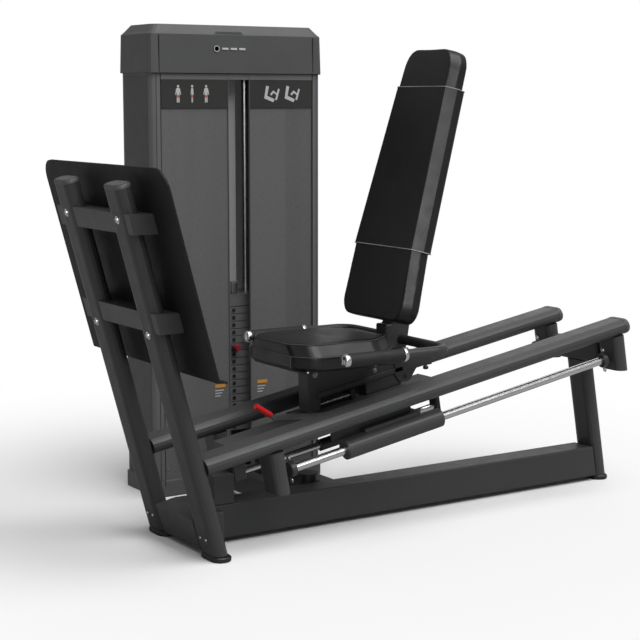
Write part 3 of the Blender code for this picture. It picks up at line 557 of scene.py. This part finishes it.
def rod_brackets(side, y):
    """The clamps that hold the two ends of a guide rod to its stubs, with their bolts."""
    profile = [(0.0, 0.017), (0.0, 0.0235), (0.0015, 0.025)]
    profile += [(0.018, 0.025), (0.0195, 0.0235), (0.0195, 0.017)]
    for end, x, inward in (("front", 0.262, SLOPE), ("rear", 1.584, -SLOPE)):
        center = on_slope(ROD_REF, x, 0.0, y)
        lathe(f"rod_clamp_{end}_{side}", center, inward, profile, "frame_paint", "frame")
        for k, up in enumerate((0.036, -0.036)):
            spot = center + SLOPE_UP * up + inward * 0.003
            bolt(f"rod_bolt_{end}_{side}_{k}", spot, inward, 0.006, "chrome", "frame")


def shoe_grip():
    """Raised bars on the footplate's working face."""
    width = Y * 0.72
    for k in range(9):
        z = 0.66 + 0.058 * k
        low = Vector((0.0622 + post_x(z), -0.324, z))
        high = low + POST_UP * 0.010
        points = [low, high, high + width, low + width]
        extrude(f"grip_bar_{k}", points, POST_BACK * 0.0018, "rubber", "frame", 0.0008)


# Tower looks


def tower_details():
    strip = (0.222, 0.835), (0.0005, 0.0038), (1.4635, 1.4858)
    front_block("tower_light_strip", *strip, "light_strip", "cap_plastic", 0.0008)
    for name, across in (("left", (0.2235, 0.4835)), ("right", (0.5735, 0.8335))):
        panel = across, (0.0006, 0.0038), (1.365, 1.4622)
        front_block(f"sign_panel_{name}", *panel, "sign_panel", "smoked_panel", 0.0006)
    sign_figures()
    cap_details()
    slot_details()
    lift_belt_strip()
    tower_grooves()
    tower_side_shade_sheets()
    panel_details()


def front_block(name, x, depth, z, mat, slot="cap_plastic", edge=0.0):
    """A block on the tower's front. Its x, depth behind the front plane and z are each (low, high)."""
    lo, hi = zip(x, (TOWER_FRONT + depth[0], TOWER_FRONT + depth[1]), z)
    block(name, lo, hi, mat, "frame", edge)


def tower_grooves():
    """The shadow lines between the panels and the columns, and the seam along each column."""
    for name, x, width, depth in (
        ("panel_left", 0.2208, 0.0020, -0.0006),
        ("panel_right", 0.8362, 0.0020, -0.0006),
        ("column_left", 0.2040, 0.0012, 0.0),
        ("column_right", 0.8530, 0.0012, 0.0),
    ):
        groove = (x - width, x + width * 0.2), (depth, 0.0020), (0.040, 1.4850)
        front_block(f"groove_{name}", *groove, "shadow_gap", "frame_paint")


def tower_side_shade_sheets():
    """A sheet of frame paint, darker than the tower's paint, on each outer side of the tower: painted shade
    for the shaded left side, with the same sheet on the right side to match.
    """
    # Painted shade: these sheets darken the tower's sides, which face away from the light.
    for name, across in (("left", (0.1842, 0.1854)), ("right", (0.8716, 0.8728))):
        sheet = across, (0.029, 0.209), (0.060, 1.478)
        front_block(f"tower_side_shade_sheet_{name}", *sheet, "frame_paint", "frame_paint")


def panel_details():
    """Screws, and a plain label with blank lines low on each panel."""
    for k, x in enumerate((0.233, 0.472, 0.585, 0.824)):
        bolt(f"panel_screw_{k}", (x, TOWER_FRONT + 0.0040, 0.10), -Y, 0.004, "steel", "frame", False)
    for name, x in (("left", 0.425), ("right", 0.600)):
        front_block(f"label_head_{name}", (x, x + 0.042), (0.0030, 0.0039), (0.372, 0.384), "label_orange")
        for k in range(3):
            z = 0.360 - 0.010 * k
            line = (x, x + 0.034 - 0.006 * k), (0.0030, 0.0038), (z, z + 0.004)
            front_block(f"label_line_{name}_{k}", *line, "print_white")


def sign_figures():
    """Plain pictograms: three standing figures, and two of a seat with a footplate."""
    for k, (x, width) in enumerate(((0.288, 1.0), (0.343, 0.55), (0.398, 1.0))):
        figure(f"figure_{k}", x, width)
    for k, x in enumerate((0.660, 0.745)):
        for j, shape in enumerate(SEAT_ICON):
            points = stretched(shape, x, 1.384, SIGN_HEIGHT, SIGN_HEIGHT)
            flat_shape(f"seat_icon_{k}_{j}", points, SIGN_FRONT - 0.0001 * j, "print_white")


def stretched(outline, x, z, across, up):
    return [(x + a * across, z + b * up) for a, b in outline]


def flat_shape(name, points, y, mat):
    outline = [(x, y, z) for x, z in points]
    extrude(name, outline, (0.0, 0.0006, 0.0), mat, "frame")


def figure(name, x, width):
    """A plain standing figure with a coloured band across it."""
    z = 1.385
    across = SIGN_HEIGHT * 0.30 * width
    flat_shape(name, stretched(FIGURE, x, z, across, SIGN_HEIGHT), SIGN_FRONT, "print_white")
    head = (x, SIGN_FRONT + 0.0006, z + SIGN_HEIGHT * 0.93)
    disc = [(0.0, 0.0045), (0.0006, 0.0045)]
    lathe(f"{name}_head", head, -Y, disc, "print_white", "frame", 20)
    band = stretched(FIGURE_BAND, x, z, across, SIGN_HEIGHT)
    flat_shape(f"{name}_accent", band, SIGN_FRONT - 0.0004, "print_red")


def cap_details():
    """A raised tab, two upright grooves and a plain badge on the cap."""
    outline = ((0.425, 1.6165), (0.550, 1.6165), (0.536, 1.630), (0.440, 1.630))
    points = [(x, CAP_FRONT + 0.004, z) for x, z in outline]
    extrude("cap_tab", points, (0.0, 0.030, 0.0), "cap_plastic", "frame", 0.002)
    for name, x in (("left", 0.2125), ("right", 0.8330)):
        groove = (x - 0.0012, x + 0.0012), (-0.0083, -0.0060), (1.489, 1.614)
        front_block(f"cap_groove_{name}", *groove, "shadow_gap")
    front_block("cap_seam", (0.190, 0.867), (-0.0042, 0.0040), (1.4840, 1.4866), "shadow_gap")
    ring = [(0.0, 0.011), (0.0012, 0.011), (0.0012, 0.0085), (0.0, 0.0085)]
    place = (0.437, CAP_FRONT + 0.0002, 1.570)
    lathe("cap_badge_ring", place, -Y, ring, "print_white", "frame")
    for k in range(3):
        x = 0.458 + k * 0.034
        bar = (x, x + 0.026), (-0.0090, -0.0070), (1.5665, 1.5735)
        front_block(f"cap_badge_bar_{k}", *bar, "print_white", "cap_plastic", 0.0008)


def slot_details():
    """The open slot: its edges, the selector holes in the plates, and the stem's clamp."""
    for name, x in (("left", SLOT_CENTER - 0.0445), ("right", SLOT_CENTER + 0.0425)):
        edge = (x, x + 0.0025), (-0.0005, 0.010), (0.10, 1.486)
        front_block(f"slot_edge_{name}", *edge, "tower_paint", "frame_paint", 0.0006)
    top = (SLOT_CENTER - 0.040, SLOT_CENTER + 0.040), (0.010, 0.030), (1.466, 1.4855)
    front_block("slot_top", *top, "black_plastic", "cap_plastic", 0.002)
    hole = [(0.0, 0.0074), (0.0009, 0.0074), (0.0009, 0.0)]
    for k in range(PLATES):
        if k == RESTING_PLATES:
            continue
        place = (SLOT_CENTER, STACK_FRONT - 0.0010, PLATE_LOW + PLATE_PITCH * (k + 0.5) - 0.0014)
        body = "frame" if k < RESTING_PLATES else "lifted_weight"
        lathe(f"plate_hole_{k}", place, -Y, hole, "shadow_gap", body, 18)
    low, high = (SLOT_CENTER - 0.002, 0.640, 0.700), (SLOT_CENTER + 0.024, 0.645, 0.742)
    block("stem_block", low, high, "steel", "lifted_weight", 0.002)


def lift_belt_strip():
    """The flat belt from the stack to the top wheel. It belongs to no body, so the whole belt stays where
    it is as the stack rises.
    """
    low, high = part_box("lift_belt")
    levels = 48
    corners = ((low[0], low[1]), (high[0], low[1]), (high[0], high[1]), (low[0], high[1]))
    bm = bmesh.new()
    rings = []
    for k in range(levels + 1):
        z = low[2] + (high[2] - low[2]) * k / levels
        rings.append([bm.verts.new((x, y, z)) for x, y in corners])
    bridge(bm, rings)
    belt = make("belt_strip", bm, "belt", smooth=False)
    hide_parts("lift_belt")
    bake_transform(belt)


# Seat carriage looks


def grip_details():
    """The foam grips on the handle bar, each between a chrome cap and a chrome collar."""
    cap = [(-0.001, 0.0), (0.0, 0.014), (0.003, 0.0185), (0.006, 0.0205)]
    cap += [(0.015, 0.0212), (0.019, 0.0205), (0.019, 0.010)]
    collar = [(0.0, 0.0166), (0.0, 0.0225), (0.002, 0.0236)]
    collar += [(0.010, 0.0236), (0.012, 0.0225), (0.012, 0.0166)]
    for side, sign in SIDES:
        y, z = sign * 0.300, 0.597
        foam = grip_profile()
        grip = lathe(f"hand_grip_{side}", (0.402, y, z), X, foam, "rubber", "seat_carriage", 40)
        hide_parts(f"grip_{side}")
        lathe(f"grip_cap_{side}", (0.3835, y, z), X, cap, "chrome", "seat_carriage", 36)
        lathe(f"grip_collar_{side}", (0.6085, y, z), X, collar, "chrome", "seat_carriage", 36)


def grip_profile():
    """A foam grip with shallow rings."""
    profile = [(0.0, 0.017), (0.0, 0.0198), (0.002, 0.0207)]
    count = 24
    length = 0.206
    for k in range(count):
        start = 0.003 + (length - 0.006) * k / count
        profile += [(start + 0.0008, 0.0207), (start + 0.0015, 0.0201), (start + 0.0022, 0.0207)]
    return profile + [(length - 0.002, 0.0207), (length, 0.0198), (length, 0.017)]


def inflate(obj, cap, voxel):
    """Swells a closed mesh like foam in a tight cover: a short cloth run that moves no point beyond cap."""
    bpy.context.view_layer.objects.active = obj
    remesh = obj.modifiers.new("voxels", "REMESH")
    remesh.mode = "VOXEL"
    remesh.voxel_size = voxel
    apply_all(obj)
    start = [v.co.copy() for v in obj.data.vertices]
    cloth = obj.modifiers.new("cloth", "CLOTH")
    cloth.settings.use_pressure = True
    cloth.settings.uniform_pressure_force = 4.0
    cloth.settings.effector_weights.gravity = 0.0
    cloth.point_cache.frame_start = 1
    cloth.point_cache.frame_end = 20
    for number in range(1, 21):
        bpy.context.scene.frame_set(number)
    apply_all(obj)
    bpy.context.scene.frame_set(1)
    settle(obj, start, cap)
    obj.data.shade_smooth()
    sub = obj.modifiers.new("smooth", "SUBSURF")
    sub.levels = 1
    sub.render_levels = 1


def settle(obj, start, cap):
    """Keeps the broad swelling of a cloth run and drops its wrinkles, so that sewn edges stay crisp."""
    mesh = obj.data
    count = len(mesh.vertices)
    before = np.array(start)
    moved = np.empty(count * 3)
    mesh.vertices.foreach_get("co", moved)
    move = moved.reshape(-1, 3) - before
    length = np.maximum(np.linalg.norm(move, axis=1), 1e-9)
    move *= np.minimum(1.0, cap / length)[:, None]
    ends = np.empty(len(mesh.edges) * 2, np.int64)
    mesh.edges.foreach_get("vertices", ends)
    first, second = ends.reshape(-1, 2).T
    degree = np.bincount(first, minlength=count) + np.bincount(second, minlength=count)
    for _ in range(30):
        total = np.zeros_like(move)
        for axis in range(3):
            total[:, axis] += np.bincount(first, move[second, axis], count)
            total[:, axis] += np.bincount(second, move[first, axis], count)
        move = total / np.maximum(degree, 1)[:, None]
    mesh.vertices.foreach_set("co", (before + move).ravel())
    mesh.update()


def apply_all(obj):
    graph = bpy.context.evaluated_depsgraph_get()
    mesh = bpy.data.meshes.new_from_object(obj.evaluated_get(graph), depsgraph=graph)
    obj.modifiers.clear()
    obj.data = mesh


def cushion(name, loops, node, cap, voxel):
    """A padded piece built from stacked loops of points, swollen by the cloth run."""
    bm = bmesh.new()
    bridge(bm, [[bm.verts.new(at(p)) for p in loop] for loop in loops])
    obj = make(name, bm, "upholstery")
    inflate(obj, cap, voxel)
    obj.data.materials.clear()
    obj.data.materials.append(MATS["upholstery"])
    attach(obj, "seat_carriage")
    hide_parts(node)


def seat_outline(sides=0.0, ends=0.0):
    """The seat's plan: chamfered front corners and a narrower rear, drawn in by these amounts."""
    half = [
        (0.300, 0.0),
        (0.300, 0.128),
        (0.306, 0.141),
        (0.340, 0.184),
        (0.352, 0.194),
        (0.370, 0.199),
        (0.585, 0.200),
        (0.612, 0.192),
        (0.690, 0.130),
        (0.700, 0.116),
    ]
    points = [(x - math.copysign(ends, x - 0.5), -max(0.0, y - sides)) for x, y in half]
    return points + [(x, -y) for x, y in reversed(points) if y]


def seat_tilt(x, z):
    """The seat leans back a little: its rear edge is lower than its front edge."""
    return z - (x - 0.300) * 0.012


def seat_cushion():
    """A thick pad: upright walls, sloped bands along both sides, and a softly hollowed top."""
    loops = []
    for z, sides, ends in SEAT_LEVELS:
        loops.append([(x, y, seat_tilt(x, z)) for x, y in seat_outline(sides, ends)])
    for z, share in ((0.6322, 0.70), (0.6310, 0.40), (0.6302, 0.15)):
        ring = seat_outline(0.060, 0.030)
        loops.append([(0.5 + (x - 0.5) * share, y * share, seat_tilt(x, z)) for x, y in ring])
    cushion("seat_cushion", loops, "seat_pad", 0.0030, 0.005)
    seam_loop("seat_seam_top", seat_outline(0.0345, 0.0045), 0.6305, 0.0012)
    seam_loop("seat_seam_mid", seat_outline(0.0005, 0.0005), 0.5945, 0.0012)
    for side, sign in SIDES:
        corner = [(0.3005, sign * 0.1285, 0.556), (0.3000, sign * 0.1285, 0.594)]
        tube(f"seat_corner_seam_{side}", corner, 0.0011, "thread", "seat_carriage", 8)


def seam_loop(name, outline, z, radius):
    points = [(x, y, seat_tilt(x, z)) for x, y in outline]
    tube(name, points, radius, "thread", "seat_carriage", 8, True)


def back_front(z):
    lean = BACK_LEAN if z > BACK_WAIST_Z else BACK_LOW_LEAN
    return Vector((BACK_WAIST_X + (z - BACK_WAIST_Z) * math.tan(lean), 0.0, z))


def back_half(z):
    return 0.162 - 0.0571 * (z - BACK_WAIST_Z)


def back_section(z, pull, inset):
    """One level of the backrest from side to side: a flat front, wide flat chamfers and square sides."""
    half = back_half(z) - pull
    spread = 0.022
    chain = [
        (inset + 0.0005, half * 0.55),
        (inset + 0.0005, half - 0.003 - inset * 0.4),
        (inset + 0.0020, half - inset * 0.4),
        (0.0330, half + spread - 0.001 - inset),
        (0.0350, half + spread - inset),
        (0.0600, half + spread - inset),
        (0.0655 - inset, half + spread - 0.003 - inset),
        (0.0675 - inset, half + 0.008),
    ]
    corner = back_front(z)
    near = [corner + BACK_OUT * d - Y * s for d, s in chain]
    far = [corner + BACK_OUT * d + Y * s for d, s in reversed(chain)]
    return near + far


def back_corner(z_end, toward, steps=9):
    """Sections that round one end of the backrest off, from the end inwards."""
    radius = 0.062
    sections = []
    for k in range(steps):
        turn = math.pi / 2 * k / (steps - 1)
        along = radius * (1 - math.cos(turn)) + 0.002
        pull = radius * (1 - math.sin(math.pi / 2 * (0.12 + 0.88 * k / (steps - 1))))
        sections.append(back_section(z_end + toward * along, pull, 0.003))
    return sections


def backrest_cushion():
    bottom = back_corner(0.676, 1.0)
    top = back_corner(1.566, -1.0)
    middle = [back_section(z, 0.0, 0.003) for z in (0.800, 0.913, 1.100, 1.300, 1.438)]
    loops = bottom + middle + list(reversed(top))
    cushion("backrest_cushion", loops, "backrest_pad", 0.0022, 0.004)
    back_cover()
    for name, z in (("low", 0.913), ("high", 1.438)):
        back_piping(name, z)
    back_edge_seam()


def back_edge_seam():
    """The sewn ridges where the sleeve's chamfers meet its front and its sides."""
    for side, sign in SIDES:
        for edge, out, spread in (("front", 0.0012, 0.0002), ("side", 0.0345, 0.0227)):
            points = []
            for k in range(9):
                z = 0.915 + 0.521 * k / 8
                points.append(back_front(z) + BACK_OUT * out + Y * sign * (back_half(z) + spread))
            name = f"back_seam_{edge}_{side}"
            tube(name, points, 0.0010, "upholstery", "seat_carriage", 8)


def back_cover():
    """The fitted sleeve over the middle of the backrest."""
    bm = bmesh.new()
    levels = (0.913, 0.916, 1.0, 1.1, 1.2, 1.3, 1.4, 1.435, 1.438)
    bridge(bm, [[bm.verts.new(at(p)) for p in back_section(z, -0.002, -0.0005)] for z in levels])
    obj = make("backrest_sleeve", bm, "upholstery", "seat_carriage", True, 24.0)


def back_piping(name, z):
    points = back_section(z, -0.0024, -0.0010)
    tube(f"back_piping_{name}", points, 0.0016, "piping", "seat_carriage", 10, True)


def carriage_details():
    """Brackets, latch spring and screws under the seat."""
    for k, (x, y) in enumerate(((0.350, -0.151), (0.610, -0.151))):
        bolt(f"tray_bolt_{k}", (x, y + 0.001, 0.543), -Y, 0.005, "chrome", "seat_carriage", False)
    bolt("column_bolt_top", (0.4535, -0.0302, 0.507), -Y, 0.0065, "steel", "seat_carriage")
    bolt("wedge_bolt_rear", (0.690, -0.0302, 0.500), -Y, 0.0060, "steel", "seat_carriage")
    wedge_flange()
    rear_gusset()
    latch_spring()
    for side, sign in SIDES:
        bearing_web(side, sign)


def wedge_flange():
    """The folded strip along the lower edge of the wedge under the seat."""
    low = on_slope(RACK_TOP_REF, 0.470, 0.056)
    high = on_slope(RACK_TOP_REF, 0.815, 0.056)
    top = SLOPE_UP * 0.016
    points = [low - Y * 0.0345, high - Y * 0.0345, high + top - Y * 0.0345, low + top - Y * 0.0345]
    extrude("wedge_flange", points, (0.0, 0.0045, 0.0), "frame_paint", "seat_carriage", 0.0015)


def rear_gusset():
    """The plate behind the wedge that carries the handle bar, with its adjusting knob."""
    outline = [
        (0.770, 0.545),
        (0.925, 0.532),
        (0.925, 0.501),
        (0.862, 0.497),
        (0.836, 0.458),
        (0.824, 0.452),
        (0.790, 0.452),
        (0.770, 0.480),
    ]
    points = [(x, -0.0345, z) for x, z in outline]
    extrude("rear_gusset", points, (0.0, 0.0040, 0.0), "frame_paint", "seat_carriage", 0.0015)
    ring = [(0.0, 0.0085), (0.0006, 0.0085), (0.0006, 0.0)]
    place = (0.812, -0.0346, 0.470)
    lathe("gusset_hole", place, -Y, ring, "shadow_gap", "seat_carriage", 20)
    knob = [(0.0, 0.0), (0.0, 0.004), (0.006, 0.0045), (0.009, 0.009)]
    knob += [(0.016, 0.0095), (0.019, 0.007), (0.019, 0.0)]
    place = (0.900, -0.0325, 0.505)
    lathe("gusset_knob", place, -Z, knob, "black_plastic", "seat_carriage", 20)


def bearing_web(side, sign):
    """The plate that stands on each bearing sleeve, close under the rail."""
    top, low = -0.034, -0.078
    corners = [(0.436, low), (0.745, low), (0.745, top - 0.012), (0.725, top)]
    corners += [(0.448, top), (0.430, top - 0.018), (0.430, low + 0.006)]
    points = [on_slope(RAIL_REF, x, up, sign * 0.1500) for x, up in corners]
    inward = (0.0, -sign * 0.008, 0.0)
    extrude(f"bearing_web_{side}", points, inward, "frame_paint", "seat_carriage", 0.002)


def latch_spring():
    """The coil spring and rod that press the latch down into the rack."""
    start = on_slope(RACK_TOP_REF, 0.500, 0.028, -0.018)
    end = on_slope(RACK_TOP_REF, 0.600, 0.028, -0.018)
    turns, steps = 11, 14
    coil = []
    for k in range(turns * steps + 1):
        turn = 2.0 * math.pi * k / steps
        centre = start + (end - start) * (k / (turns * steps))
        coil.append(centre + (Y * math.cos(turn) + SLOPE_UP * math.sin(turn)) * 0.0075)
    slope_box("latch_housing", on_slope(RACK_TOP_REF, 0.484, 0.0140, 0.004), 0.168, 0.036, 0.022)
    tube("latch_spring", coil, 0.0012, "steel", "seat_carriage", 6)
    rod = [start - SLOPE * 0.012, end + SLOPE * 0.012]
    tube("latch_spring_rod", rod, 0.0038, "steel", "seat_carriage", 16)
    slope_box("latch_block", on_slope(RACK_TOP_REF, 0.604, 0.0145, -0.027), 0.014, 0.030, 0.040)


def slope_box(name, corner, length, height, width):
    """A black plastic box that lies along the incline, from its low near corner."""
    along, up = SLOPE * length, SLOPE_UP * height
    points = [corner, corner + along, corner + along + up, corner + up]
    extrude(name, points, (0.0, width, 0.0), "black_plastic", "seat_carriage", 0.002)


def rack_scale():
    """The printed scale of seat positions on top of the rack."""
    start = on_slope(RACK_TOP_REF, 0.262, 0.0002, -0.046)
    width = Y * 0.022
    points = [start, start + SLOPE * 0.090, start + SLOPE * 0.090 + width, start + width]
    extrude("rack_scale", points, SLOPE_UP * 0.0004, "light_strip", "rack")
    for k in range(10):
        low = start + SLOPE * (0.004 + 0.009 * k) + SLOPE_UP * 0.0004
        long_mark = width * (0.85 if k % 3 == 0 else 0.45)
        points = [low, low + SLOPE * 0.0018, low + SLOPE * 0.0018 + long_mark, low + long_mark]
        extrude(f"rack_scale_mark_{k}", points, SLOPE_UP * 0.0002, "print_white", "rack")


# Floor, light and camera


def math_node(tree, kind, first, second=None, third=None):
    node = tree.nodes.new("ShaderNodeMath")
    node.operation = kind
    for socket, value in zip(node.inputs, (first, second, third)):
        if value is None:
            continue
        if isinstance(value, (int, float)):
            socket.default_value = value
        else:
            tree.links.new(value, socket)
    return node.outputs["Value"]


def floor_material():
    """Pale matte floor that turns plain white away from the machine, so that no horizon shows."""
    mat, tree, shader = new_material("floor_white")
    coords = object_coords(tree)
    seen = tree.nodes.new("ShaderNodeLightPath").outputs["Is Camera Ray"]
    tone = ramp(tree, noise(tree, coords, 0.7), [(0.3, gray(0.90)), (0.7, gray(0.91))])
    tree.links.new(mix_color(tree, seen, gray(FLOOR_BOUNCE), tone), shader.inputs["Base Color"])
    shader.inputs["Roughness"].default_value = 0.90
    shader.inputs["Specular IOR Level"].default_value = 0.1
    length = tree.nodes.new("ShaderNodeVectorMath")
    length.operation = "LENGTH"
    tree.links.new(coords, length.inputs[0])
    far = tree.nodes.new("ShaderNodeMapRange")
    far.interpolation_type = "SMOOTHSTEP"
    far.inputs["From Min"].default_value = 1.1
    far.inputs["From Max"].default_value = 2.7
    tree.links.new(length.outputs["Value"], far.inputs["Value"])
    glow = tree.nodes.new("ShaderNodeEmission")
    mixed = tree.nodes.new("ShaderNodeMixShader")
    tree.links.new(math_node(tree, "MULTIPLY", far.outputs["Result"], seen), mixed.inputs["Fac"])
    tree.links.new(shader.outputs["BSDF"], mixed.inputs[1])
    tree.links.new(glow.outputs["Emission"], mixed.inputs[2])
    tree.links.new(mixed.outputs["Shader"], tree.nodes["Material Output"].inputs["Surface"])
    return mat


def studio_floor():
    bm = bmesh.new()
    half = 30.0
    corners = ((-half, -half), (half, -half), (half, half), (-half, half))
    bm.faces.new([bm.verts.new((x, y, 0.0)) for x, y in corners])
    mesh = bpy.data.meshes.new("floor")
    bm.to_mesh(mesh)
    bm.free()
    mesh.materials.append(floor_material())
    link("floor", mesh)


def studio_world():
    """White behind the object, bright in its gloss, and a dim even light on it."""
    world = bpy.data.worlds.new("studio")
    world.use_nodes = True
    tree = world.node_tree
    background = tree.nodes["Background"]
    rays = tree.nodes.new("ShaderNodeLightPath").outputs
    gloss = math_node(tree, "MULTIPLY_ADD", rays["Is Glossy Ray"], WORLD_GLOSS - WORLD_LIGHT, WORLD_LIGHT)
    strength = math_node(tree, "MAXIMUM", gloss, rays["Is Camera Ray"])
    tree.links.new(strength, background.inputs["Strength"])
    background.inputs["Color"].default_value = (1.0, 1.0, 1.0, 1.0)
    bpy.context.scene.world = world


def sun(name, direction, strength, spread):
    light = bpy.data.lights.new(name, "SUN")
    light.energy = strength
    light.angle = math.radians(spread)
    link(name, light).rotation_euler = facing(-Vector(direction))


def facing(direction):
    return direction.to_track_quat("-Z", "Y").to_euler()


def studio_light():
    """A wide sun from the near side, a front light seen only in gloss, and a faint light from behind."""
    studio_floor()
    studio_world()
    sun("key", (0.10, -0.46, 0.88), 2.9, 60.0)
    front = area("front", (-3.2, -6.2, 3.0), (0.0, -0.3, 0.9), (2.4, 2.4), 140.0)
    front.visible_diffuse = False
    area("rim", (3.2, 2.6, 2.6), (0.2, 0.2, 0.6), (1.6, 2.2), 8.0)


def area(name, place, target, size, power):
    light = bpy.data.lights.new(name, "AREA")
    light.shape = "RECTANGLE"
    light.size, light.size_y = size
    light.energy = power
    obj = link(name, light)
    obj.location = place
    obj.rotation_euler = facing(Vector(target) - Vector(place))
    return obj


def camera():
    data = bpy.data.cameras.new("camera")
    data.sensor_width = 36.0
    data.lens = 89.6
    data.clip_end = 120.0
    obj = link("camera", data)
    yaw, pitch = math.radians(32.8), math.radians(7.93)
    level = math.cos(pitch)
    forward = Vector((math.sin(yaw) * level, math.cos(yaw) * level, -math.sin(pitch)))
    turned = forward.to_track_quat("-Z", "Y").to_matrix().to_4x4()
    obj.matrix_world = Matrix.Translation(at((-2.301, -4.3355, 1.400))) @ turned
    bpy.context.scene.camera = obj
    bpy.context.scene.view_settings.view_transform = "Standard"


paint_nodes()
frame_details()
shoe_grip()
tower_details()
grip_details()
seat_cushion()
backrest_cushion()
carriage_details()
rack_scale()
studio_light()
camera()

bpy.context.view_layer.update()
